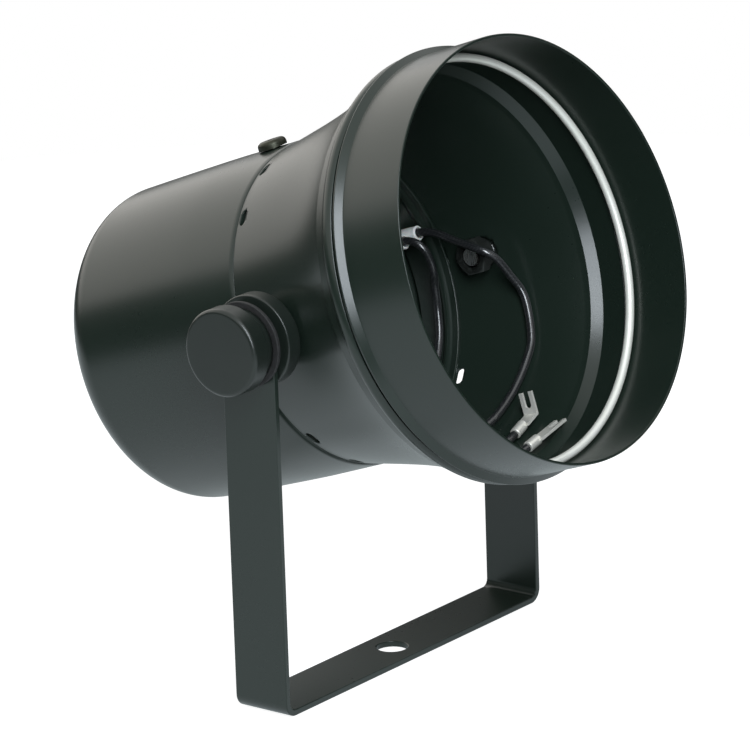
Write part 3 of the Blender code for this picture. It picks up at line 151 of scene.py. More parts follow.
# Each point of a lead's run is an angle round the can, a depth under the bell's outside and a station
UPPER_LEAD_RUN = (
    (12.5, 0.0058, -0.0078), (8.2, 0.0080, -0.0019), (2.0, 0.0102, 0.0061), (-2.7, 0.0086, 0.0088),
    (-10.2, 0.0058, 0.0101), (-18.2, 0.0029, 0.0116), (-32.0, 0.0025, 0.0132), (-40.8, 0.0026, 0.0127),
    (-50.3, 0.0027, 0.0116), (-58.0, 0.0027, 0.0106), (-66.0, 0.0028, 0.0098), (-72.1, 0.0029, 0.0087),
    (-78.7, 0.0030, 0.0085), (-83.4, 0.0031, 0.0103), (-85.7, 0.0031, 0.0144), (-84.1, 0.0030, 0.0186),
    (-80.4, 0.0030, 0.0206), (-75.5, 0.0030, 0.0205))
LOWER_LEAD_RUN = (
    (11.9, 0.0091, -0.0124), (6.8, 0.0089, -0.0112), (-1.2, 0.0078, -0.0119), (-8.1, 0.0058, -0.0142),
    (-16.9, 0.0040, -0.0157), (-28.5, 0.0033, -0.0162), (-47.2, 0.0035, -0.0160), (-66.3, 0.0040, -0.0135),
    (-82.1, 0.0036, -0.0075), (-92.5, 0.0031, 0.0005), (-95.5, 0.0028, 0.0093), (-95.3, 0.0028, 0.0180),
    (-92.6, 0.0032, 0.0246), (-86.6, 0.0032, 0.0281), (-83.0, 0.0036, 0.0286))
TERMINAL_WIDTH = 0.0046
TERMINAL_THICKNESS = 0.0008
TERMINAL_BARREL_RADIUS = 0.0016
TERMINAL_BARREL_LENGTH = 0.0050
TERMINAL_TONGUE = 0.0068
FORK_SLOT = 0.0022
FORK_SLOT_SHARE = 0.75
UPPER_TERMINAL_END = (-63.4, 0.0025, 0.0203)
UPPER_TERMINAL_BEND = radians(68)
LOWER_TERMINAL_END = (-65.3, 0.0029, 0.0296)
FRAME_SCREW_X = 0.0290
FRAME_SCREW_RADIUS = 0.0018
CORE_DROP = 0.0080
SCREW_HEAD_RADIUS = 0.0035
SCREW_HEAD_HEIGHT = 0.0022
SCREW_NUT_HEIGHT = 0.0026
FRAME_SHEET = 0.0010
EARTH_X = 0.0160
EARTH_V = 0.0220
EARTH_SCREW_RADIUS = 0.0020
GLAND_V = 0.0250
GLAND_THREAD_RADIUS = 0.0057
GLAND_FLATS = 0.0140
GLAND_HEX_HEIGHT = 0.0040
GLAND_STEM = 0.0072
GLAND_NOSE = 0.0036
GLAND_BORE = 0.0040
GLAND_CAP_LENGTH = 0.0105
GLAND_CAP_WALL = 0.0018
GLAND_CAP_MOUTH = 0.0042
GLAND_SEAL_DIMPLE = 0.0016
GLAND_CHAMFER = 0.0008
RIB_COUNT = 18
RIB_DEPTH = 0.00035
RIB_END = 0.0012
RIB_FADE = 0.0008
CRIMP_PLACES = (0.32, 0.68)
CRIMP_WIDTH = 0.12
CRIMP_DEPTH = 0.28
CROSS_LENGTH = 0.52
CROSS_WIDTH = 0.11
CROSS_TURNS = (20, 110)
CROSS_DEPTH = 0.0011
THREAD_DEPTH = 0.12
THREAD_ROWS = 8
THREAD_SIDES = 36
NUT_CHAMFER = 0.12
NUT_CHAMFER_SLOPE = 0.55
TAPER_POWER = 1.25
SWAGE_SPREAD = 1.25
SCREW_CROWN = 0.62
SCREW_CROWN_SHAPE = 0.8
SCREW_CROWN_FALL = 0.9
SCREW_RIM = 0.0001
SCREW_CROSS = 0.55
CORE_REACH = 1.2 * SPACER_RADIUS

# Fineness of the meshes: longest stretches of the outlines, then the rounding of their corners
CAN_STEP = 0.004
SHIELD_STEP = 0.003
HOOD_STEP = 0.002
KNOB_STEP = 0.0016
BELL_STEP = 0.0015
SPACER_STEP = 0.0012
SCREW_STEP = 0.0006
SPACER_EDGE = 0.0005
PRESSED_EDGE = 0.00035
SMALL_EDGE = 0.0003
STRAP_EDGE = 0.00028
SHIELD_EDGE = 0.0002
BUSH_EDGE = 0.00015
NUT_EDGE = 0.00012
CAN_EDGE = 0.00006
CORNER_SHARE = 0.45
CURVE_STEPS = 16
ON_AXIS = 1e-7

UPRIGHT = Matrix.Rotation(pi / 2, 4, "X")
ACROSS = Matrix.Rotation(pi / 2, 4, "Y")
MIDDLE = Vector((0, 0, PIVOT_HEIGHT))
CAN_PLACE = Matrix.Translation(MIDDLE) @ Matrix.Rotation(pi / 2 - TILT, 4, "X")
FINE_SEGMENTS = 192
SMALL_SEGMENTS = 64


def flare_radius(station):
    t = (station - SEAM) / FLARE_LENGTH
    return NECK_RADIUS + (FRONT_RADIUS - NECK_RADIUS) * (FLARE_STRAIGHT * t + (1 - FLARE_STRAIGHT) * t ** 4)


PIVOT_WALL = flare_radius(0.0)
ARM_INNER = PIVOT_WALL + SEAT + SPACER_LENGTH + SEAT
ARM_OUTER = ARM_INNER + STRAP_THICKNESS
WASHER_INNER = ARM_OUTER + SEAT
KNOB_INNER = WASHER_INNER + WASHER_THICKNESS + SEAT
KNOB_SHOULDER = KNOB_INNER + KNOB_NECK_LENGTH
KNOB_OUTER = KNOB_SHOULDER + KNOB_LENGTH
STUD_OUTER = KNOB_INNER + STUD_IN_KNOB
STUD_HOLE = STUD_RADIUS + SEAT
NUT_RADIUS = NUT_FLATS / sqrt(3)
NUT_TOP = sqrt((flare_radius(-NUT_RADIUS) - SHEET) ** 2 - NUT_RADIUS ** 2) - 2 * SEAT
NUT_BOTTOM = NUT_TOP - NUT_HEIGHT
NUT_COLLAR_TOP = sqrt(flare_radius(-NUT_COLLAR_RADIUS) ** 2 - NUT_COLLAR_RADIUS ** 2)
STUD_INNER = NUT_BOTTOM + SEAT / 2


# Camera, at the photograph's viewing angle

CAMERA_TURN = -0.9065
CAMERA_LIFT = 0.2917
CAMERA_ROLL = -0.0332
CAMERA_DISTANCE = 1.5
CAMERA_OFFSET = (-0.001538, -0.023241)
CAMERA_LENS = 257.5


def make_camera():
    level = Vector((cos(CAMERA_TURN), sin(CAMERA_TURN), 0.0))
    back = Vector((level.y, -level.x, 0.0)) * cos(CAMERA_LIFT) + Vector((0, 0, sin(CAMERA_LIFT)))
    upright = back.cross(level)
    right = cos(CAMERA_ROLL) * level + sin(CAMERA_ROLL) * upright
    up = cos(CAMERA_ROLL) * upright - sin(CAMERA_ROLL) * level
    place = MIDDLE + back * CAMERA_DISTANCE + right * CAMERA_OFFSET[0] + up * CAMERA_OFFSET[1]
    data = bpy.data.cameras.new("photo_camera")
    data.sensor_width = 36.0
    data.lens = CAMERA_LENS
    data.clip_start = 0.01
    data.clip_end = 50.0
    turn = Matrix((right, up, back)).transposed().to_4x4()
    bpy.context.scene.camera = placed("photo_camera", data, Matrix.Translation(place) @ turn)


# Materials

class Nodes:
    """A node tree, with short ways to add to it."""

    def __init__(self, tree):
        self.tree = tree

    def put(self, value, socket):
        """Link an output to the socket, or set the socket's constant."""
        if isinstance(value, bpy.types.NodeSocket):
            self.tree.links.new(value, socket)
        else:
            socket.default_value = value

    def add(self, kind, values=(), **settings):
        node = self.tree.nodes.new(kind)
        for key, value in settings.items():
            setattr(node, key, value)
        for socket, value in dict(values).items():
            self.put(value, node.inputs[socket])
        return node

    def maths(self, operation, one, two):
        return self.add("ShaderNodeMath", {0: one, 1: two}, operation=operation).outputs["Value"]


class Finish(Nodes):
    """A material with one shader, and textures in the object's own space."""

    def __init__(self, name, colour, roughness, metallic=0.0):
        self.material = bpy.data.materials.new(name)
        self.material.use_nodes = True
        self.material.diffuse_color = (*colour, 1.0)
        super().__init__(self.material.node_tree)
        self.coordinates = self.add("ShaderNodeTexCoord").outputs["Object"]
        self.set("Base Color", (*colour, 1.0))
        self.set("Roughness", roughness)
        self.set("Metallic", metallic)

    def set(self, socket, value):
        self.put(value, self.tree.nodes["Principled BSDF"].inputs[socket])

    def space(self, stretch):
        if not stretch:
            return self.coordinates
        return self.add("ShaderNodeMapping", {"Scale": stretch, "Vector": self.coordinates}).outputs["Vector"]

    def noise(self, scale, detail=3.0, stretch=None, distortion=0.0):
        values = {"Scale": scale, "Detail": detail, "Distortion": distortion, "Vector": self.space(stretch)}
        return self.add("ShaderNodeTexNoise", values).outputs["Fac"]

    def bands(self, scale, direction="Z", profile="SIN", distortion=0.0, stretch=None):
        values = {"Scale": scale, "Distortion": distortion, "Vector": self.space(stretch)}
        settings = {"wave_type": "BANDS", "wave_profile": profile, "bands_direction": direction}
        return self.add("ShaderNodeTexWave", values, **settings).outputs["Fac"]

    def range(self, value, low, high):
        values = {"Value": value, "To Min": low, "To Max": high}
        return self.add("ShaderNodeMapRange", values).outputs["Result"]

    def tones(self, height, *stops):
        """Base colour that follows a texture, by stops of a height and a colour."""
        node = self.add("ShaderNodeValToRGB", {"Fac": height})
        elements = node.color_ramp.elements
        while len(elements) < len(stops):
            elements.new(0.5)
        for element, (position, colour) in zip(elements, stops):
            element.position = position
            element.color = (*colour, 1.0)
        self.set("Base Color", node.outputs["Color"])

    def bump(self, *layers):
        """Each layer is a height output, its depth in metres and its strength."""
        values = {}
        for height, depth, strength in layers:
            values.update({"Height": height, "Distance": depth, "Strength": strength})
            values["Normal"] = self.add("ShaderNodeBump", values).outputs["Normal"]
        self.set("Normal", values["Normal"])


def mottled(name, dark, pale, patches, roughness, grain=None, depth=0.00002, strength=0.15, metallic=0.0):
    """Patches between two tones, and a grain in relief. Patches and grain are a noise's scale and detail."""
    finish = Finish(name, pale, roughness[1], metallic)
    noise = finish.noise(*patches)
    finish.tones(noise, (0.3, dark), (0.7, pale))
    finish.set("Roughness", finish.range(noise, *roughness))
    finish.bump((finish.noise(*grain) if grain else noise, depth, strength))
    return finish


def make_paint():
    """Satin black enamel with a fine orange peel."""
    finish = Finish("satin_black_paint", (0.011, 0.019, 0.014), 0.29)
    broad = finish.noise(14.0, 2.0)
    fine = finish.noise(900.0, 2.0)
    finish.tones(broad, (0.3, (0.0098, 0.0172, 0.0126)), (0.7, (0.0122, 0.0205, 0.0152)))
    rubbed = finish.range(broad, 0.265, 0.305)
    finish.set("Roughness", finish.maths("ADD", rubbed, finish.range(fine, -0.02, 0.02)))
    finish.bump((fine, 0.00002, 0.10), (finish.noise(240.0, 2.0), 0.00005, 0.06))
    return finish


def make_plastic():
    finish = Finish("satin_black_plastic", (0.010, 0.0145, 0.0115), 0.34)
    grain = finish.noise(1600.0, 2.0)
    finish.tones(finish.noise(60.0), (0.3, (0.0085, 0.0130, 0.0100)), (0.7, (0.0115, 0.0162, 0.0130)))
    finish.set("Roughness", finish.range(grain, 0.30, 0.38))
    finish.bump((grain, 0.00003, 0.12))
    return finish


def make_rubber():
    return mottled("black_rubber", (0.009,) * 3, (0.020,) * 3, (1200.0, 4.0), (0.60, 0.80),
                   depth=0.00004, strength=0.25)


def make_dull_zinc():
    """Black zinc plate."""
    return mottled("dull_zinc", (0.024, 0.028, 0.025), (0.042, 0.046, 0.042), (250.0,), (0.42, 0.56),
                   (1300.0,), metallic=0.6)


def make_blackened():
    """Blackened steel with a brownish green cast."""
    return mottled("blackened_steel", (0.022, 0.024, 0.016), (0.045, 0.047, 0.032), (350.0,), (0.36, 0.50),
                   (1500.0,), metallic=0.7)


def make_spring_wire():
    """Matt tin plate of an even pale tone."""
    return mottled("tinned_spring_wire", (0.87, 0.87, 0.78), (0.92, 0.91, 0.84), (160.0,), (0.37, 0.48),
                   (2200.0, 2.0), 0.00001, metallic=0.30)


def make_terminal_tin():
    return mottled("tinned_terminal", (0.84, 0.82, 0.74), (0.90, 0.88, 0.81), (160.0,), (0.31, 0.42),
                   (2200.0, 2.0), 0.00001, metallic=0.55)


def make_ceramic():
    finish = mottled("white_ceramic", (0.84, 0.83, 0.79), (0.91, 0.90, 0.87), (700.0,), (0.26, 0.42),
                     depth=0.00003)
    finish.set("Subsurface Weight", 0.08)
    finish.set("Subsurface Scale", 0.002)
    return finish


def make_galvanised():
    """Galvanised sheet, with the flat crystals of its zinc."""
    finish = Finish("galvanised_sheet", (0.55, 0.56, 0.58), 0.38, 1.0)
    values = {"Scale": 260.0, "Vector": finish.coordinates}
    spangle = finish.add("ShaderNodeTexVoronoi", values, feature="F1").outputs["Color"]
    finish.tones(spangle, (0.0, (0.46, 0.48, 0.50)), (1.0, (0.66, 0.67, 0.68)))
    finish.set("Roughness", finish.range(spangle, 0.28, 0.50))
    finish.bump((finish.noise(900.0), 0.00002, 0.15))
    return finish


def make_supply_wire():
    return mottled("blue_insulation", (0.07, 0.10, 0.30), (0.10, 0.13, 0.38), (800.0,), (0.32, 0.46),
                   strength=0.12)


def make_earth_wire():
    """Green insulation with a yellow stripe wound round it."""
    green = (0.08, 0.32, 0.05)
    finish = Finish("earth_insulation", green, 0.38)
    fine = finish.noise(800.0)
    finish.tones(finish.bands(90.0, "DIAGONAL"), (0.52, green), (0.56, (0.62, 0.55, 0.05)))
    finish.set("Roughness", finish.range(fine, 0.32, 0.46))
    finish.bump((fine, 0.00002, 0.12))
    return finish


def make_zinc():
    """Bright zinc plate with a faint passivation tint and fine handling marks."""
    finish = Finish("zinc_plate", (0.80, 0.80, 0.77), 0.28, 1.0)
    tint = finish.noise(180.0, 2.0, distortion=1.0)
    marks = finish.noise(1500.0, 3.0, stretch=(1.0, 1.0, 0.15))
    finish.tones(tint, (0.25, (0.78, 0.79, 0.80)), (0.55, (0.82, 0.81, 0.78)), (0.8, (0.80, 0.77, 0.69)))
    finish.set("Roughness", finish.range(marks, 0.20, 0.38))
    finish.bump((marks, 0.00002, 0.15))
    return finish


def make_lead_sleeve():
    """Dark varnished glass sleeving with a fine braid."""
    finish = Finish("varnished_sleeving", (0.016, 0.017, 0.018), 0.30)
    one = finish.bands(520.0, "DIAGONAL")
    two = finish.bands(520.0, "DIAGONAL", stretch=(-1.0, 1.0, 1.0))
    braid = finish.maths("MULTIPLY", one, two)
    finish.tones(braid, (0.0, (0.010, 0.011, 0.012)), (1.0, (0.030, 0.031, 0.032)))
    finish.set("Roughness", finish.range(finish.noise(400.0), 0.24, 0.38))
    finish.bump((braid, 0.00006, 0.35))
    finish.set("Coat Weight", 0.9)
    finish.set("Coat Roughness", 0.10)
    return finish


def make_lamination():
    """Edges of stacked core plates, lightly oxidised, under a dip of varnish."""
    finish = Finish("core_plates", (0.14, 0.145, 0.16), 0.42, 0.85)
    plates = finish.bands(310.0, "Y")
    rust = finish.noise(160.0, 4.0)
    finish.tones(rust, (0.35, (0.10, 0.11, 0.13)), (0.6, (0.17, 0.17, 0.18)), (0.85, (0.20, 0.14, 0.10)))
    finish.set("Roughness", finish.range(plates, 0.36, 0.56))
    finish.bump((plates, 0.00010, 0.5), (rust, 0.00004, 0.2))
    return finish


def make_winding_tape():
    """Yellow film tape wound over the coil, with its overlaps showing."""
    finish = Finish("coil_tape", (0.62, 0.45, 0.08), 0.30)
    laps = finish.bands(52.0, "Z", "SAW", 0.6)
    wires = finish.bands(620.0, "Z", "SIN")
    finish.tones(laps, (0.0, (0.44, 0.29, 0.045)), (0.1, (0.60, 0.43, 0.075)), (1.0, (0.68, 0.51, 0.11)))
    finish.set("Roughness", finish.range(finish.noise(300.0), 0.22, 0.40))
    finish.bump((laps, 0.00006, 0.4), (wires, 0.00005, 0.25))
    return finish


PAINT = make_paint().material
PLASTIC = make_plastic().material
RUBBER = make_rubber().material
ZINC = make_zinc().material
BLACKENED = make_blackened().material
DULL_ZINC = make_dull_zinc().material
SPRING_WIRE = make_spring_wire().material
TERMINAL_TIN = make_terminal_tin().material
LEAD_SLEEVE = make_lead_sleeve().material
CERAMIC = make_ceramic().material
LAMINATION = make_lamination().material
WINDING_TAPE = make_winding_tape().material
GALVANISED = make_galvanised().material
SUPPLY_WIRE = make_supply_wire().material
EARTH_WIRE = make_earth_wire().material


# Outlines and meshes

def arc(centre, radius, start, end, steps):
    angles = [radians(start + (end - start) * i / steps) for i in range(steps + 1)]
    return [(centre[0] + radius * cos(a), centre[1] + radius * sin(a)) for a in angles]


def bulge(start, end, height, steps):
    """Points on the arc from start to end that stands off its chord by height, on the right-hand side."""
    along = Vector(end) - Vector(start)
    half = along.length / 2
    radius = (half * half + height * height) / (2 * height)
    outward = Vector((along.y, -along.x)).normalized()
    centre = (Vector(start) + Vector(end)) / 2 + outward * (height - radius)
    reach = degrees(asin(min(1.0, half / radius)))
    middle = degrees(atan2(outward.y, outward.x))
    return arc(centre, radius, middle - reach, middle + reach, steps)


def rounded(points, radius, steps=4, closed=True, limit=25):
    """Replace each corner of a line that turns by more than limit degrees with a small arc."""
    result = []
    for i, point in enumerate(points):
        here = Vector(point)
        before = Vector(points[i - 1]) - here
        after = Vector(points[(i + 1) % len(points)]) - here
        turn = pi - before.angle(after, pi)
        is_end = not closed and i in (0, len(points) - 1)
        if is_end or turn < radians(limit) or here.x < ON_AXIS:
            result.append(tuple(here))
            continue
        cut = radius / max(0.05, tan((pi - turn) / 2))
        cut = min(cut, CORNER_SHARE * before.length, CORNER_SHARE * after.length)
        start = here + before.normalized() * cut
        end = here + after.normalized() * cut
        for k in range(steps + 1):
            t = k / steps
            result.append(tuple(start.lerp(here, t).lerp(here.lerp(end, t), t)))
    return result


def pressed(line, thickness):
    """Closed outline of a pressed sheet: its outer line, and the same line moved in by the thickness."""
    points = [Vector(p) for p in line]
    normals = []
    for a, b in zip(points, points[1:]):
        along = (b - a).normalized()
        normals.append(Vector((-along.y, along.x)))
    inner = [points[0] + normals[0] * thickness]
    for point, before, after in zip(points[1:-1], normals, normals[1:]):
        middle = (before + after).normalized()
        inner.append(point + middle * thickness / middle.dot(after))
    inner.append(points[-1] + normals[-1] * thickness)
    return [tuple(p) for p in points] + [tuple(p) for p in reversed(inner)]


def divided(outline, step):
    """The same closed outline with no stretch longer than step."""
    result = []
    for a, b in zip(outline, outline[1:] + outline[:1]):
        count = max(1, ceil((Vector(b) - Vector(a)).length / step))
        result += [tuple(Vector(a).lerp(Vector(b), k / count)) for k in range(count)]
    return result


def rod(radius, low, high):
    """Outline of a plain round rod."""
    return [(0, low), (radius, low), (radius, high), (0, high)]


def add_turned(mesh, outline, segments, place=None, radius_at=None):
    """Turn a closed outline of (radius, height) points once round the local Z axis."""
    place = place or Matrix.Identity(4)
    rings = []
    for radius, height in outline:
        count = segments if radius > ON_AXIS else 1
        ring = []
        for i in range(count):
            a = 2 * pi * i / segments
            r = radius_at(radius, height, a) if radius_at else radius
            ring.append(mesh.verts.new(place @ Vector((r * cos(a), r * sin(a), height))))
        rings.append(ring)
    for one, two in zip(rings, rings[1:] + rings[:1]):
        for i in range(segments):
            corners = [one[i % len(one)], one[(i + 1) % len(one)], two[(i + 1) % len(two)], two[i % len(two)]]
            face = list(dict.fromkeys(corners))
            if len(face) > 2:
                mesh.faces.new(face)


def add_prism(mesh, outline, low, high, place=None):
    place = place or Matrix.Identity(4)
    ends = [[mesh.verts.new(place @ Vector((x, y, z))) for x, y in outline] for z in (low, high)]
    for end in ends:
        mesh.faces.new(end)
    for i in range(len(outline)):
        j = (i + 1) % len(outline)
        mesh.faces.new((ends[0][i], ends[0][j], ends[1][j], ends[1][i]))


def hexagon(across_flats):
    radius = across_flats / sqrt(3)
    return [(radius * cos(radians(60 * i)), radius * sin(radians(60 * i))) for i in range(6)]


def oval(half_pitch, radius, steps=14):
    """Two half circles joined by straight sides, its long way along local X."""
    return arc((half_pitch, 0), radius, -90, 90, steps) + arc((-half_pitch, 0), radius, 90, 270, steps)


def outwards(angle, station):
    """Placement on the can's axis: local Z points out at this angle, local Y forward."""
    a = radians(angle)
    return Matrix(((-sin(a), 0, cos(a), 0), (cos(a), 0, sin(a), 0), (0, 1, 0, station), (0, 0, 0, 1)))


def placed(name, data, place):
    thing = bpy.data.objects.new(name, data)
    bpy.context.scene.collection.objects.link(thing)
    thing.matrix_world = place
    return thing


def mesh_object(name, mesh, finish, place=None):
    bmesh.ops.recalc_face_normals(mesh, faces=mesh.faces)
    data = bpy.data.meshes.new(name)
    mesh.to_mesh(data)
    mesh.free()
    data.materials.append(finish)
    data.shade_smooth()
    return placed(name, data, place or CAN_PLACE)


def turned(name, outline, finish, segments=FINE_SEGMENTS, place=None, world=None, radius_at=None):
    mesh = bmesh.new()
    add_turned(mesh, outline, segments, place, radius_at)
    return mesh_object(name, mesh, finish, world)


def prism(name, outline, low, high, finish, place=None, world=None):
    mesh = bmesh.new()
    add_prism(mesh, outline, low, high, place)
    return mesh_object(name, mesh, finish, world)


def combine(thing, other, operation="DIFFERENCE"):
    """Cut or join, apply it at once and drop the tool."""
    modifier = thing.modifiers.new(operation.title(), "BOOLEAN")
    modifier.operation = operation
    modifier.solver = "EXACT"
    modifier.object = other
    apply(thing)
    bpy.data.objects.remove(other, do_unlink=True)
    return thing


def apply(thing):
    """Apply the object's modifiers to its mesh."""
    bpy.context.view_layer.update()
    graph = bpy.context.evaluated_depsgraph_get()
    data = bpy.data.meshes.new_from_object(thing.evaluated_get(graph))
    thing.modifiers.clear()
    old = thing.data
    thing.data = data
    bpy.data.meshes.remove(old)
    return thing


def edged(thing, width, segments=3, limit=30):
    """Round the edges by a narrow bevel, and weight the normals to the large faces."""
    bevel = thing.modifiers.new("Edges", "BEVEL")
    bevel.width = width
    bevel.segments = segments
    bevel.limit_method = "ANGLE"
    bevel.angle_limit = radians(limit)
    return weighted(thing)


def weighted(thing):
    normals = thing.modifiers.new("Normals", "WEIGHTED_NORMAL")
    normals.mode = "FACE_AREA"
    normals.weight = 50
    normals.keep_sharp = True
    return apply(thing)


def cut_cross(screw, head_radius, low, high, finish, place):
    """Cut a cross recess into a screw's head, between two heights of its own axis."""
    arm = CROSS_LENGTH * head_radius
    wide = CROSS_WIDTH * head_radius
    outline = [(-arm, -wide), (arm, -wide), (arm, wide), (-arm, wide)]
    for turn in CROSS_TURNS:
        aim = place @ Matrix.Rotation(radians(turn), 4, "Z")
        combine(screw, prism("cross", outline, low, high, finish, aim))


def dressed(piece, node, body="can"):
    """The piece stands in for a node, whose CAD mesh it hides, and rides on its body."""
    piece.data.transform(piece.matrix_world)
    piece.matrix_world = Matrix.Identity(4)
    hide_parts(node)
    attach(piece, body)
    return piece


def smooth_route(route, spacing):
    """Points at even steps along the smooth curve through a route's own points, its ends run straight."""
    points = [Vector(p) for p in route]
    points = [2 * points[0] - points[1]] + points + [2 * points[-1] - points[-2]]
    fine = []
    for a, b, c, d in zip(points, points[1:], points[2:], points[3:]):
        for i in range(CURVE_STEPS):
            t = i / CURVE_STEPS
            fine.append(0.5 * (2 * b + (c - a) * t + (2 * a - 5 * b + 4 * c - d) * t * t
                               + (3 * b - a - 3 * c + d) * t * t * t))
    fine.append(points[-2])
    lengths = [0.0]
    for a, b in zip(fine, fine[1:]):
        lengths.append(lengths[-1] + (b - a).length)
    steps = max(2, round(lengths[-1] / spacing))
    result = []
    j = 0
    for i in range(steps + 1):
        target = lengths[-1] * i / steps
        while j < len(lengths) - 2 and lengths[j + 1] < target:
            j += 1
        share = (target - lengths[j]) / (lengths[j + 1] - lengths[j])
        result.append(fine[j].lerp(fine[j + 1], min(1.0, share)))
    return result


def tube(name, run, radius, finish, resolution=4):
    curve = bpy.data.curves.new(name, "CURVE")
    curve.dimensions = "3D"
    curve.bevel_depth = radius
    curve.bevel_resolution = resolution
    curve.use_fill_caps = True
    spline = curve.splines.new("POLY")
    spline.points.add(len(run) - 1)
    for point, place in zip(spline.points, run):
        point.co = (*place, 1.0)
    spline.use_smooth = True
    curve.materials.append(finish)
    return placed(name, curve, CAN_PLACE)


# Lamp leads, with their terminals

def sleeve_centre(side):
    """Middle of one of the bush's two sleeves, in the can's frame."""
    a = radians(BUSH_ANGLE)
    reach = BUSH_RADIUS + side * SLEEVE_PITCH / 2
    return reach * cos(a), reach * sin(a)


def frame_between(start, end):
    """Placement at start: local X runs to end, local Z leans towards the can's axis."""
    along = (Vector(end) - Vector(start)).normalized()
    inward = Vector((-start[0], -start[1], 0.0))
    up = (inward - along * inward.dot(along)).normalized()
    side = up.cross(along)
    return Matrix.Translation(start) @ Matrix((along, side, up)).transposed().to_4x4()


def make_terminal(name, start, end, bend):
    """Crimped barrel and a flat fork, whose last part may be bent up by an angle."""
    place = frame_between(start, end)
    length = (Vector(end) - Vector(start)).length
    half = TERMINAL_THICKNESS / 2
    line = [(TERMINAL_BARREL_LENGTH - SHEET, -half), (length, -half)]
    if bend:
        line.append((length + TERMINAL_TONGUE * cos(bend), -half + TERMINAL_TONGUE * sin(bend)))
        line = rounded(line, TERMINAL_THICKNESS, 5, closed=False)
    blade = prism(name, pressed(line, TERMINAL_THICKNESS), -TERMINAL_WIDTH / 2, TERMINAL_WIDTH / 2,
                  TERMINAL_TIN, place @ UPRIGHT)
    if bend:
        tilt = Matrix.Translation((length, 0, 0)) @ Matrix.Rotation(-bend, 4, "Y")
    else:
        tilt = Matrix.Translation((length - TERMINAL_TONGUE, 0, 0))
    slot_start = TERMINAL_TONGUE * (1 - FORK_SLOT_SHARE)
    slot = arc((slot_start + FORK_SLOT / 2, 0), FORK_SLOT / 2, 90, 270, 10)
    slot += [(2 * TERMINAL_TONGUE, -FORK_SLOT / 2), (2 * TERMINAL_TONGUE, FORK_SLOT / 2)]
    reach = 4 * TERMINAL_THICKNESS
    combine(blade, prism("slot", slot, -reach, reach, TERMINAL_TIN, place @ tilt))
    outline = rounded(rod(TERMINAL_BARREL_RADIUS, 0, TERMINAL_BARREL_LENGTH), SMALL_EDGE, 3)
    barrel = turned("barrel", outline, TERMINAL_TIN, 24, place @ ACROSS, radius_at=crimped)
    combine(blade, barrel, "UNION")
    edged(blade, NUT_EDGE, 2)
    return blade


def crimped(radius, height, angle):
    """Two dents of the crimping tool across the barrel."""
    away = [(height / TERMINAL_BARREL_LENGTH - middle) / CRIMP_WIDTH for middle in CRIMP_PLACES]
    dent = sum(exp(-a * a) for a in away) * max(0.0, cos(angle)) ** 2
    return radius * (1 - CRIMP_DEPTH * dent)


def under_the_bell(point):
    angle, depth, station = point
    radius = flare_radius(station) - depth
    return radius * cos(radians(angle)), radius * sin(radians(angle)), station


def lead_route(side, sleeve_length, run):
    """Route of a lamp lead: straight through its sleeve, then along the points of its run."""
    x, v = sleeve_centre(side)
    face = SHIELD_FRONT + SEAT
    start = face + LEAD_START
    end = face + sleeve_length + LEAD_STRAIGHT
    return [(x, v, start), (x, v, (start + end) / 2), (x, v, end)] + [under_the_bell(p) for p in run]


def make_leads():
    upper = lead_route(1, UPPER_SLEEVE_LENGTH, UPPER_LEAD_RUN)
    lower = lead_route(-1, LOWER_SLEEVE_LENGTH, LOWER_LEAD_RUN)
    leads = (("upper", upper, UPPER_TERMINAL_END, UPPER_TERMINAL_BEND),
             ("lower", lower, LOWER_TERMINAL_END, 0.0))
    for word, route, terminal_end, bend in leads:
        run = smooth_route(route, LEAD_RADIUS)
        end = under_the_bell(terminal_end)
        lead = tube(f"lead_{word}", run, LEAD_RADIUS, LEAD_SLEEVE, 5)
        dressed(lead, f"lamp_lead_{word}")
        along = (Vector(end) - Vector(route[-1])).normalized()
        start = Vector(route[-1]) + along * SEAT
        terminal = make_terminal(f"terminal_{word}", tuple(start), end, bend)
        dressed(terminal, f"lead_terminal_{word}")


# Bracket

def make_bracket():
    half = ARM_OUTER
    line = [(half, PIVOT_HEIGHT + STRAP_WIDTH)]
    line += arc((half - STRAP_BEND, STRAP_BEND), STRAP_BEND, 0, -90, 16)
    line += arc((STRAP_BEND - half, STRAP_BEND), STRAP_BEND, -90, -180, 16)
    line += [(-half, PIVOT_HEIGHT + STRAP_WIDTH)]
    strap = [(x, -z) for x, z in pressed([(x, -z) for x, z in line], STRAP_THICKNESS)]
    world = Matrix.Identity(4)
    bracket = prism("bracket", strap, -STRAP_WIDTH, STRAP_WIDTH, PAINT, UPRIGHT, world)
    side = [(-STRAP_WIDTH / 2, -STRAP_WIDTH), (STRAP_WIDTH / 2, -STRAP_WIDTH)]
    side += arc((0, PIVOT_HEIGHT), STRAP_WIDTH / 2, 0, 180, 40)
    lengthwise = Matrix(((0, 0, 1, 0), (1, 0, 0, 0), (0, 1, 0, 0), (0, 0, 0, 1)))
    reach = half + STRAP_WIDTH
    combine(bracket, prism("side", side, -reach, reach, PAINT, lengthwise, world), "INTERSECT")
    holes = bmesh.new()
    add_turned(holes, rod(TILT_HOLE_RADIUS, -reach, reach), 40, Matrix.Translation(MIDDLE) @ ACROSS)
    add_turned(holes, rod(FIXING_HOLE_RADIUS, -STRAP_WIDTH, STRAP_WIDTH), 48)
    combine(bracket, mesh_object("holes", holes, PAINT, world))
    edged(bracket, STRAP_EDGE, 3)
    return dressed(bracket, "yoke_bracket", "bracket")


# Can

def can_screw_hole(mesh):
    outline = rod(CAN_SCREW_RADIUS + SEAT, SLEEVE_TUBE_RADIUS - 2 * SHEET, CAN_RADIUS + SHEET)
    add_turned(mesh, outline, 40, outwards(CAN_SCREW_ANGLE, SEAM - CAN_SCREW_BACK))


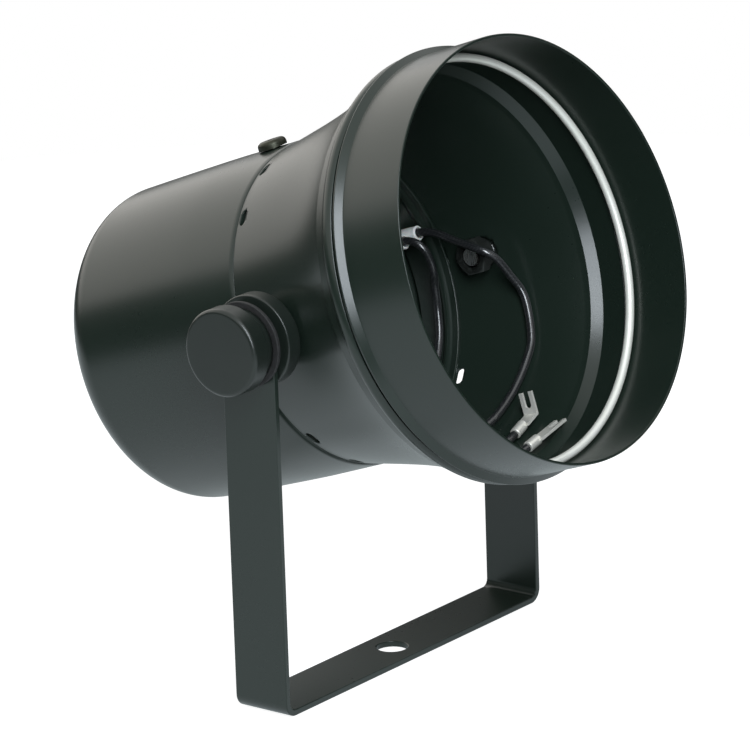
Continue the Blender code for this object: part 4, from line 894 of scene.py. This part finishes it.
def can_holes():
    """Holes of the rear can: cord gland, earth screw, the transformer's two screws and the top screw."""
    holes = bmesh.new()
    for x, v, radius in ((0, GLAND_V, GLAND_THREAD_RADIUS), (EARTH_X, EARTH_V, EARTH_SCREW_RADIUS),
                         (-FRAME_SCREW_X, -CORE_DROP, FRAME_SCREW_RADIUS),
                         (FRAME_SCREW_X, -CORE_DROP, FRAME_SCREW_RADIUS)):
        outline = rod(radius + SEAT, BACK - SHEET, BACK_INNER + SHEET)
        add_turned(holes, outline, 40, Matrix.Translation((x, v, 0)))
    can_screw_hole(holes)
    return mesh_object("holes", holes, PAINT)


def make_rear_can():
    corner = CAN_RADIUS - CAN_TAPER - CAN_CORNER
    line = [(0, BACK)]
    line += arc((corner, BACK + CAN_CORNER), CAN_CORNER, -90, 0, 24)
    taper_start = SEAM - CAN_STRAIGHT
    taper_end = BACK + CAN_CORNER
    for i in range(1, 13):
        t = i / 12
        station = taper_end + (taper_start - taper_end) * t
        line.append((CAN_RADIUS - CAN_TAPER * (1 - t) ** TAPER_POWER, station))
    for i in range(7):
        t = i / 6
        line.append((CAN_RADIUS - CAN_CURL * t * t, SEAM - CAN_CURL_LENGTH * (1 - t) - SEAT / 10))
    outline = divided(rounded(pressed(line, SHEET), CAN_EDGE, 3, limit=50), CAN_STEP)
    can = turned("can_shell", outline, PAINT)
    combine(can, can_holes())
    return dressed(weighted(can), "rear_can")


def bell_line():
    """Outer line of the bell: sleeve with its swage, flare, lamp seat, ridge and the lip in the hood."""
    tube_r = SLEEVE_TUBE_RADIUS
    swage = SEAM - SWAGE_BACK
    line = [(tube_r, SLEEVE_END)]
    for i in range(13):
        t = i / 12
        dip = SWAGE_DEPTH * 0.5 * (1 - cos(2 * pi * t))
        line.append((tube_r - dip, swage + (t - 0.5) * SWAGE_SPREAD * SWAGE_WIDTH))
    line += [(tube_r, SEAM), (NECK_RADIUS - SEAT / 3, SEAM)]
    for i in range(31):
        station = SEAM + (LAMP_SEAT - SEAM) * i / 30
        line.append((flare_radius(station), station))
    line.append((flare_radius(LAMP_SEAT) + LAMP_SEAT_STEP, LAMP_SEAT + LAMP_SEAT_RUN))
    line += bulge((FRONT_RADIUS, CREASE), (RIDGE_RADIUS, RIDGE_END), RIDGE_BULGE, 14)
    line += [(SPIGOT_RADIUS, RIDGE_END), (SPIGOT_RADIUS, RIDGE_END + SPIGOT_LENGTH)]
    return line


def bell_outline():
    """Closed outline of the bell; inside, a plain wall runs from the lip to the cone of the lamp's seat."""
    outer = bell_line()
    behind = [p for p in pressed(outer, SHEET)[len(outer):] if p[1] < LAMP_SEAT - SHEET]
    lip = SPIGOT_RADIUS - SHEET
    end = RIDGE_END + SPIGOT_LENGTH
    low = flare_radius(LAMP_SEAT) - SEAT_CONE_DEPTH
    return (outer + [(lip + SEAT / 3, end), (lip, end - SEAT / 3)]
            + [(low + SEAT_CONE_RISE, SEAT_CONE_FRONT), (low, SEAT_CONE_BACK)] + behind)


def make_bell():
    outline = divided(rounded(bell_outline(), PRESSED_EDGE, 4, limit=15), BELL_STEP)
    bell = turned("bell_shell", outline, PAINT)
    cuts = bmesh.new()
    slot = oval((VENT_LENGTH - VENT_WIDTH) / 2, VENT_WIDTH / 2, 16)
    for angle in VENT_ANGLES:
        for side in (-1, 1):
            add_prism(cuts, slot, NECK_RADIUS - 3 * SHEET, NECK_RADIUS + 3 * SHEET,
                      outwards(side * angle, SEAM + VENT_FRONT))
    can_screw_hole(cuts)
    add_turned(cuts, rod(NUT_COLLAR_RADIUS + SEAT, -FRONT_RADIUS, FRONT_RADIUS), SMALL_SEGMENTS, ACROSS)
    combine(bell, mesh_object("cuts", cuts, PAINT))
    return dressed(weighted(bell), "front_bell")


def make_can_screw():
    """Pan-head screw with a cross recess, through the rear can and the bell's sleeve."""
    end = SLEEVE_TUBE_RADIUS - SHEET - CAN_SCREW_REACH
    head = CAN_RADIUS + SEAT
    side = head + CAN_SCREW_HEAD_SIDE
    top = head + CAN_SCREW_HEAD_HEIGHT
    edge = top - side
    place = outwards(CAN_SCREW_ANGLE, SEAM - CAN_SCREW_BACK)
    outline = [(0, end), (CAN_SCREW_RADIUS - SEAT, end), (CAN_SCREW_RADIUS, end + SEAT),
               (CAN_SCREW_RADIUS, head), (CAN_SCREW_HEAD_RADIUS, head)]
    outline += arc((CAN_SCREW_HEAD_RADIUS - edge, side), edge, 0, 90, 10)
    outline += [(0, top)]
    screw = turned("can_fastener", divided(outline, SCREW_STEP), BLACKENED, SMALL_SEGMENTS, place)
    cut_cross(screw, CAN_SCREW_HEAD_RADIUS, top - CROSS_DEPTH, top + SHEET, BLACKENED, place)
    screw.data.set_sharp_from_angle(angle=radians(35))
    return dressed(screw, "can_screw")


def make_hood():
    bead = HOOD_BACK + HOOD_LIP
    line = [(HOOD_LIP_RADIUS, HOOD_BACK), (HOOD_LIP_RADIUS, bead), (BEAD_RADIUS, bead + BEAD_TOP_START),
            (BEAD_RADIUS, bead + BEAD_TOP_END), (HOOD_RADIUS, bead + BEAD_FLANK_END),
            (HOOD_RIM_RADIUS, HOOD_RIM)]
    line = rounded(line, PRESSED_EDGE, 4, closed=False, limit=20)
    outline = divided(rounded(pressed(line, SHEET), STRAP_EDGE, 4, limit=60), HOOD_STEP)
    hood = turned("hood", outline, PAINT, 256)
    return dressed(weighted(hood), "lamp_hood")


def make_ring():
    """Split ring of spring wire with its ends turned in."""
    bend = RING_END_BEND
    start = RING_MIDDLE + RING_SPLIT / 2
    turn = 360 - RING_SPLIT
    bend_angle = degrees(bend / RING_RADIUS)
    ring = arc((0, 0), RING_RADIUS, start + bend_angle, start + turn - bend_angle, 220)
    ends = []
    for angle, side in ((start, 1), (start + turn, -1)):
        middle = angle + side * degrees(bend / (RING_RADIUS - bend))
        out = Vector((cos(radians(middle)), sin(radians(middle))))
        corner = arc(out * (RING_RADIUS - bend), bend, middle, middle - side * 90, 12)[1:]
        ends.append(corner + [tuple(Vector(corner[-1]) - out * RING_END_LENGTH)])
    run = list(reversed(ends[0])) + ring + ends[1]
    wire = tube("retaining_ring", [(x, v, RING_STATION) for x, v in run], RING_WIRE_RADIUS, SPRING_WIRE, 6)
    return dressed(wire, "lamp_retaining_ring", "ring")


# Tilt pivots, drawn along local Z outwards from the can's middle

def knob_outline():
    edge = KNOB_EDGE
    outline = [(STUD_HOLE, KNOB_INNER), (KNOB_NECK_RADIUS, KNOB_INNER), (KNOB_NECK_RADIUS, KNOB_SHOULDER)]
    outline += arc((KNOB_RADIUS - edge / 2, KNOB_SHOULDER + edge / 2), edge / 2, -90, 0, 6)
    outline += arc((KNOB_RADIUS - edge, KNOB_OUTER - edge), edge, 0, 90, 10)
    outline += [(0, KNOB_OUTER), (0, STUD_OUTER + SEAT), (STUD_HOLE, STUD_OUTER + SEAT)]
    return divided(outline, KNOB_STEP)


def spacer_outline():
    top = ARM_INNER - SEAT
    foot = PIVOT_WALL - SPACER_RADIUS
    outline = [(STUD_HOLE, foot), (SPACER_FOOT_RADIUS, foot), (SPACER_FOOT_RADIUS, PIVOT_WALL - SEAT),
               (SPACER_RADIUS, top - SPACER_COLLAR), (SPACER_RADIUS, top), (STUD_HOLE, top)]
    return divided(rounded(outline, SPACER_EDGE, 4), SPACER_STEP)


def bell_core():
    """The bell's outside as a plain body, one seat gap larger, which cuts the spacers' feet."""
    stations = [CORE_REACH * (i / 10 - 1) for i in range(21)]
    side = [(flare_radius(station) + SEAT, station) for station in stations]
    return turned("core", [(0, -CORE_REACH)] + side + [(0, CORE_REACH)], PAINT)


def make_stud(word, place):
    """Threaded stud: a helical groove between two plain, chamfered ends."""
    mesh = bmesh.new()
    depth = THREAD_DEPTH * STUD_RADIUS
    length = STUD_OUTER - STUD_INNER
    rows = round(length / THREAD_PITCH * THREAD_ROWS)
    rings = []
    for k in range(rows + 1):
        height = length * k / rows
        fade = min(1.0, min(height, length - height) / THREAD_PITCH)
        ring = []
        for i in range(THREAD_SIDES):
            phase = (height / THREAD_PITCH - i / THREAD_SIDES) % 1.0
            r = STUD_RADIUS - depth * abs(2 * phase - 1) * fade - depth * (1 - fade)
            a = 2 * pi * i / THREAD_SIDES
            ring.append(mesh.verts.new(place @ Vector((r * cos(a), r * sin(a), STUD_INNER + height))))
        rings.append(ring)
    for one, two in zip(rings, rings[1:]):
        for i in range(THREAD_SIDES):
            j = (i + 1) % THREAD_SIDES
            mesh.faces.new((one[i], one[j], two[j], two[i]))
    mesh.faces.new(list(reversed(rings[0])))
    mesh.faces.new(rings[-1])
    stud = mesh_object(f"stud_{word}", mesh, ZINC)
    stud.data.set_sharp_from_angle(angle=radians(50))
    return dressed(stud, f"knob_stud_{word}", f"knob_{word}")


def make_nut(word, place):
    """Hexagon nut with its corners turned to a chamfer, and a round collar in the bell's bore."""
    low, high = NUT_BOTTOM, NUT_TOP
    mesh = bmesh.new()
    add_prism(mesh, hexagon(NUT_FLATS), low, high, place)
    nut = mesh_object(f"nut_{word}", mesh, DULL_ZINC)
    flat = NUT_RADIUS - NUT_CHAMFER * NUT_FLATS
    slope = NUT_CHAMFER * NUT_FLATS * NUT_CHAMFER_SLOPE
    body = [(0, low), (flat, low), (NUT_RADIUS, low + slope), (NUT_RADIUS, high - slope), (flat, high),
            (0, high)]
    collar = rod(NUT_COLLAR_RADIUS, low + SHEET, NUT_COLLAR_TOP)
    bore = rod(STUD_HOLE, low - NUT_FLATS, high + NUT_FLATS)
    for name, outline, segments, operation in (("chamfer", body, SMALL_SEGMENTS, "INTERSECT"),
                                               ("collar", collar, 48, "UNION"),
                                               ("bore", bore, 36, "DIFFERENCE")):
        combine(nut, turned(name, outline, DULL_ZINC, segments, place), operation)
    edged(nut, NUT_EDGE, 2, 35)
    return dressed(nut, f"pivot_nut_{word}")


def make_knob(word, place):
    knob = turned(f"knob_{word}_grip", knob_outline(), PLASTIC, 128, place)
    return dressed(weighted(knob), f"knob_{word}", f"knob_{word}")


def make_washer(word, place):
    top = WASHER_INNER + WASHER_THICKNESS
    outline = [(STUD_HOLE, WASHER_INNER), (WASHER_RADIUS, WASHER_INNER), (WASHER_RADIUS, top),
               (STUD_HOLE, top)]
    washer = turned(f"washer_{word}", divided(rounded(outline, SMALL_EDGE, 4), HOOD_STEP), RUBBER, 96, place)
    return dressed(weighted(washer), f"knob_washer_{word}", f"knob_{word}")


def make_spacer(word, place):
    spacer = turned(f"spacer_{word}", spacer_outline(), PLASTIC, 96, place)
    combine(spacer, bell_core())
    spacer.data.set_sharp_from_angle(angle=radians(40))
    return dressed(spacer, f"tilt_spacer_{word}")


def make_pivots():
    for side, word in ((-1, "left"), (1, "right")):
        place = Matrix.Rotation(side * pi / 2, 4, "Y")
        for make in (make_knob, make_washer, make_spacer, make_stud, make_nut):
            make(word, place)


# Heat shield and lead bush

def bush_profile(radius):
    return oval(SLEEVE_PITCH / 2, radius)


def bush_place():
    return Matrix.Rotation(radians(BUSH_ANGLE), 4, "Z") @ Matrix.Translation((BUSH_RADIUS, 0, 0))


def make_heat_shield():
    corner = SHIELD_CORNER
    line = [(SHIELD_RADIUS, SHIELD_FRONT - SHIELD_FLANGE)]
    line += arc((SHIELD_RADIUS - corner, SHIELD_FRONT - corner), corner, 0, 90, 10)
    line += [(0, SHIELD_FRONT)]
    outline = divided(rounded(pressed(line, SHEET), SHIELD_EDGE, 3, limit=60), SHIELD_STEP)
    shield = turned("shield", outline, PAINT)
    hole = prism("hole", bush_profile(BUSH_NECK_RADIUS + SEAT), SHIELD_FRONT - 4 * SHEET,
                 SHIELD_FRONT + 4 * SHEET, PAINT, bush_place())
    combine(shield, hole)
    return dressed(weighted(shield), "heat_shield")


def make_lead_bush():
    front = SHIELD_FRONT + SEAT
    back = SHIELD_FRONT - SHEET - SEAT
    flange = BUSH_FLANGE_THICKNESS
    bush = prism("bush", bush_profile(BUSH_FLANGE_RADIUS), front, front + flange, CERAMIC, bush_place())
    for name, radius, low, high in (("neck", BUSH_NECK_RADIUS, back - flange / 2, front + flange / 2),
                                    ("lip", BUSH_FLANGE_RADIUS, back - flange, back)):
        combine(bush, prism(name, bush_profile(radius), low, high, CERAMIC, bush_place()), "UNION")
    sleeves = bmesh.new()
    bores = bmesh.new()
    for side, length in ((1, UPPER_SLEEVE_LENGTH), (-1, LOWER_SLEEVE_LENGTH)):
        place = Matrix.Translation((*sleeve_centre(side), 0))
        low = front + flange / 2
        add_turned(sleeves, [(0, low), (SLEEVE_RADIUS, low), (SLEEVE_RADIUS, front + length - SEAT),
                             (SLEEVE_RADIUS - SEAT, front + length), (0, front + length)], 48, place)
        add_turned(bores, rod(SLEEVE_BORE, back - 3 * flange, front + 2 * length), 40, place)
    combine(bush, mesh_object("sleeves", sleeves, CERAMIC), "UNION")
    combine(bush, mesh_object("bores", bores, CERAMIC))
    edged(bush, BUSH_EDGE, 2, 40)
    return dressed(bush, "lead_bush")


# Fasteners and gland on the can's back

def make_screw(name, node, x, v, radius, nut_seat):
    """Pan-head screw with a cross recess."""
    head = BACK - SEAT
    end = nut_seat + SCREW_NUT_HEIGHT + SCREW_HEAD_HEIGHT / 2
    reach = SCREW_HEAD_RADIUS * radius / FRAME_SCREW_RADIUS
    low = head - SCREW_HEAD_HEIGHT
    place = Matrix.Translation((x, v, 0))
    outline = [(0, low)]
    for i in range(1, 13):
        a = radians(90 * i / 12)
        rise = SCREW_CROWN * SCREW_HEAD_HEIGHT * (1 - cos(a) ** SCREW_CROWN_FALL)
        outline.append((reach * sin(a) ** SCREW_CROWN_SHAPE, low + rise))
    outline += [(reach, head - SCREW_RIM), (reach - SCREW_RIM, head), (radius, head),
                (radius, end - SMALL_EDGE), (radius - SMALL_EDGE, end), (0, end)]
    screw = turned(name, outline, ZINC, SMALL_SEGMENTS, place)
    cut_cross(screw, reach, low - CROSS_DEPTH, low + SCREW_CROSS * SCREW_HEAD_HEIGHT, ZINC, place)
    screw.data.set_sharp_from_angle(angle=radians(35))
    return dressed(screw, node)


def make_back_screws():
    foot = BACK_INNER + SEAT + FRAME_SHEET + SEAT
    for side, word in ((-1, "left"), (1, "right")):
        make_screw(f"frame_screw_{word}", f"transformer_screw_{word}", side * FRAME_SCREW_X, -CORE_DROP,
                   FRAME_SCREW_RADIUS, foot)
    tag = BACK_INNER + SEAT + TERMINAL_THICKNESS + SEAT
    make_screw("earthing_screw", "earth_screw", EARTH_X, EARTH_V, EARTH_SCREW_RADIUS, tag)


GLAND_PLACE = Matrix.Translation((0, GLAND_V, 0))
GLAND_HEX_END = BACK - SEAT - GLAND_HEX_HEIGHT
GLAND_NOSE_END = GLAND_HEX_END - GLAND_NOSE
GLAND_CAP_TOP = GLAND_HEX_END - SEAT
GLAND_CAP_END = GLAND_CAP_TOP - GLAND_CAP_LENGTH
GLAND_CAP_FLOOR = GLAND_CAP_END + GLAND_CAP_WALL
GLAND_CAP_INNER = GLAND_THREAD_RADIUS + SEAT
GLAND_CAP_OUTER = GLAND_CAP_INNER + GLAND_CAP_WALL


def make_gland_body():
    seat = BACK - SEAT
    low = GLAND_HEX_END
    stem = BACK_INNER + GLAND_STEM
    corner = GLAND_FLATS / sqrt(3)
    chamfered = [(0, low), (corner - GLAND_CHAMFER, low), (corner, low + GLAND_CHAMFER / 2), (corner, seat),
                 (0, seat)]
    thread = rod(GLAND_THREAD_RADIUS, GLAND_NOSE_END, stem)
    bore = rod(GLAND_BORE, GLAND_NOSE_END - GLAND_NOSE, stem + GLAND_STEM)
    body = prism("gland_hex", hexagon(GLAND_FLATS), low, seat, PLASTIC, GLAND_PLACE)
    for name, outline, segments, operation in (("chamfer", chamfered, 96, "INTERSECT"),
                                               ("thread", thread, SMALL_SEGMENTS, "UNION"),
                                               ("bore", bore, SMALL_SEGMENTS, "DIFFERENCE")):
        combine(body, turned(name, outline, PLASTIC, segments, GLAND_PLACE), operation)
    edged(body, SHIELD_EDGE, 2, 35)
    return dressed(body, "gland_body")


def ribbed(radius, height, angle):
    """Grip ribs on the outside of the gland's cap, which run out before its two ends."""
    if radius < GLAND_CAP_OUTER - 2 * SEAT:
        return radius
    inside = 1.0
    for room in (GLAND_CAP_TOP - RIB_END - height, height - GLAND_CAP_FLOOR):
        inside *= min(1.0, max(0.0, room / RIB_FADE))
    return radius - RIB_DEPTH * inside * sqrt(max(0.0, cos(RIB_COUNT * angle)))


def make_gland_cap():
    top, end, floor = GLAND_CAP_TOP, GLAND_CAP_END, GLAND_CAP_FLOOR
    shoulder = GLAND_CAP_WALL + 2 * SEAT
    outline = [(GLAND_CAP_INNER, top), (GLAND_CAP_INNER, floor), (GLAND_CAP_MOUTH, floor),
               (GLAND_CAP_MOUTH, end + SEAT), (GLAND_CAP_MOUTH + SEAT, end)]
    outline += arc((GLAND_CAP_OUTER - shoulder, floor), shoulder, -90, 0, 12)
    outline += [(GLAND_CAP_OUTER, top - SEAT), (GLAND_CAP_OUTER - SEAT, top)]
    cap = turned("gland_nut", divided(outline, SCREW_STEP), PLASTIC, 216, GLAND_PLACE, radius_at=ribbed)
    cap.data.set_sharp_from_angle(angle=radians(38))
    return dressed(cap, "gland_cap")


def make_gland_seal():
    top = GLAND_NOSE_END - SEAT
    low = GLAND_CAP_FLOOR + SEAT
    radius = GLAND_CAP_INNER - SEAT
    outline = [(0, low), (GLAND_CAP_MOUTH + SHEET, low), (radius, low + SHEET), (radius, top),
               (GLAND_SEAL_DIMPLE, top), (0, top - GLAND_SEAL_DIMPLE)]
    seal = turned("seal", rounded(outline, SMALL_EDGE, 3), RUBBER, SMALL_SEGMENTS, GLAND_PLACE)
    return dressed(weighted(seal), "gland_seal")


# Inner pieces that keep their CAD shapes

KEPT_NODES = {
    "transformer_core": LAMINATION, "transformer_bobbin": CERAMIC, "transformer_windings": WINDING_TAPE,
    "transformer_frame": GALVANISED, "transformer_nut_left": ZINC, "transformer_nut_right": ZINC,
    "terminal_block": CERAMIC, "terminal_screw_1": ZINC, "terminal_screw_2": ZINC, "terminal_screw_3": ZINC,
    "secondary_lead_upper": LEAD_SLEEVE, "secondary_lead_lower": LEAD_SLEEVE,
    "primary_lead_live": SUPPLY_WIRE, "primary_lead_neutral": SUPPLY_WIRE, "earth_lead": EARTH_WIRE,
    "earth_nut": ZINC, "earth_tag": ZINC, "gland_locknut": PLASTIC,
}


def dress_kept_nodes():
    for name, finish in KEPT_NODES.items():
        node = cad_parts[name]
        for material_slot in node.material_slots:
            material_slot.material = finish


# Floor, cards, lamps and backdrop

FLOOR_RADIUS = 0.6
FLOOR_GREY = 0.5
FLOOR_GLOW = 0.90            # light the floor gives off itself; the lamps' light on it comes on top
FLOOR_SHEEN = 0.55           # the same, as the glossy sides see it
COOL_WHITE = (0.82, 0.96, 1.0)
ROOM_LIGHT = 0.35
CARD_DISTANCE = 1.25
CARD_BOTTOM = -0.25
CARD_GREY = 0.05
CARD_STEP = 2
# Top edge of the cards: turns from +Y towards +X, and heights above the object's middle, in degrees
CARD_TOPS = ((-34, 16.5), (-12, 3), (48, 3), (50, 27), (115, 27), (120, 32), (240, 32), (262, 16.5),
             (326, 16.5))


def seen_rays(nodes):
    """One for rays from the camera and those seen in metal or glass, else nought; and the camera's alone."""
    rays = nodes.add("ShaderNodeLightPath").outputs
    total = rays["Is Camera Ray"]
    for name in ("Is Glossy Ray", "Is Transmission Ray"):
        total = nodes.maths("MAXIMUM", total, rays[name])
    return total, rays["Is Camera Ray"]


def make_floor():
    finish = bpy.data.materials.new("pale_floor")
    finish.use_nodes = True
    finish.node_tree.nodes.clear()
    nodes = Nodes(finish.node_tree)
    seen, camera = seen_rays(nodes)
    colours = {"A": (*(FLOOR_SHEEN * c for c in COOL_WHITE), 1.0), "B": (*(FLOOR_GLOW,) * 3, 1.0)}
    tint = nodes.add("ShaderNodeMix", {"Factor": camera, **colours}, data_type="RGBA")
    glow = nodes.add("ShaderNodeEmission", {"Color": tint.outputs["Result"], "Strength": seen})
    diffuse = nodes.add("ShaderNodeBsdfDiffuse", {"Color": (*(FLOOR_GREY,) * 3, 1.0)})
    both = nodes.add("ShaderNodeAddShader", {0: diffuse.outputs["BSDF"], 1: glow.outputs["Emission"]})
    nodes.add("ShaderNodeOutputMaterial", {"Surface": both.outputs["Shader"]})
    mesh = bmesh.new()
    bmesh.ops.create_circle(mesh, cap_ends=True, radius=FLOOR_RADIUS, segments=64)
    mesh_object("floor", mesh, finish, Matrix.Translation((0, 0, -SEAT)))


def card_top(turn):
    """Height of the cards' top edge at a turn, in degrees."""
    for (a, low), (b, high) in zip(CARD_TOPS, CARD_TOPS[1:]):
        if a <= turn <= b:
            return low + (high - low) * (turn - a) / (b - a)


def make_cards():
    """Dark cards round the table, not seen by the camera: they put the dark band on the glossy sides."""
    finish = Finish("dark_card", (CARD_GREY,) * 3, 0.9).material
    mesh = bmesh.new()
    for start in range(CARD_TOPS[0][0], CARD_TOPS[-1][0], CARD_STEP):
        corners = []
        end = start + CARD_STEP
        for turn, raised in ((start, False), (end, False), (end, True), (start, True)):
            height = PIVOT_HEIGHT + CARD_DISTANCE * tan(radians(card_top(turn))) if raised else CARD_BOTTOM
            a = radians(turn)
            corners.append(mesh.verts.new((CARD_DISTANCE * sin(a), CARD_DISTANCE * cos(a), height)))
        mesh.faces.new(corners)
    cards = mesh_object("cards", mesh, finish, Matrix.Identity(4))
    cards.visible_camera = False


def make_world():
    world = bpy.data.worlds.new("studio")
    bpy.context.scene.world = world
    world.use_nodes = True
    world.node_tree.nodes.clear()
    nodes = Nodes(world.node_tree)
    room = nodes.add("ShaderNodeBackground", {"Color": (0.96, 0.99, 1.0, 1.0), "Strength": ROOM_LIGHT})
    white = nodes.add("ShaderNodeBackground", {"Color": (1.0, 1.0, 1.0, 1.0)})
    sides = {1: room.outputs["Background"], 2: white.outputs["Background"]}
    mix = nodes.add("ShaderNodeMixShader", {"Fac": seen_rays(nodes)[0], **sides})
    nodes.add("ShaderNodeOutputWorld", {"Surface": mix.outputs["Shader"]})


def area_light(name, turn, lift, distance, size, brightness, colour):
    """Soft box that faces the object's middle. Turn is from +Y towards +X, lift above level, in degrees."""
    data = bpy.data.lights.new(name, "AREA")
    data.shape = "RECTANGLE"
    data.size, data.size_y = size
    data.energy = brightness * pi * size[0] * size[1]
    data.color = colour
    a, e = radians(turn), radians(lift)
    away = Vector((sin(a) * cos(e), cos(a) * cos(e), sin(e)))
    place = Matrix.Translation(MIDDLE + away * distance)
    light = placed(name, data, place @ away.to_track_quat("Z", "Y").to_matrix().to_4x4())
    light.visible_camera = False


for make in (make_camera, make_leads, make_bracket, make_rear_can, make_bell, make_can_screw, make_hood,
             make_ring, make_pivots, make_heat_shield, make_lead_bush, make_back_screws, make_gland_body,
             make_gland_cap, make_gland_seal, dress_kept_nodes, make_floor, make_cards, make_world):
    make()

area_light("key_box", -136, 34, 1.2, (0.36, 0.95), 15.0, (0.86, 0.93, 1.0))
area_light("back_panel", 5, 26, 1.7, (2.4, 1.5), 0.70, (1.0, 0.93, 0.82))

bpy.context.scene.view_settings.view_transform = "Standard"
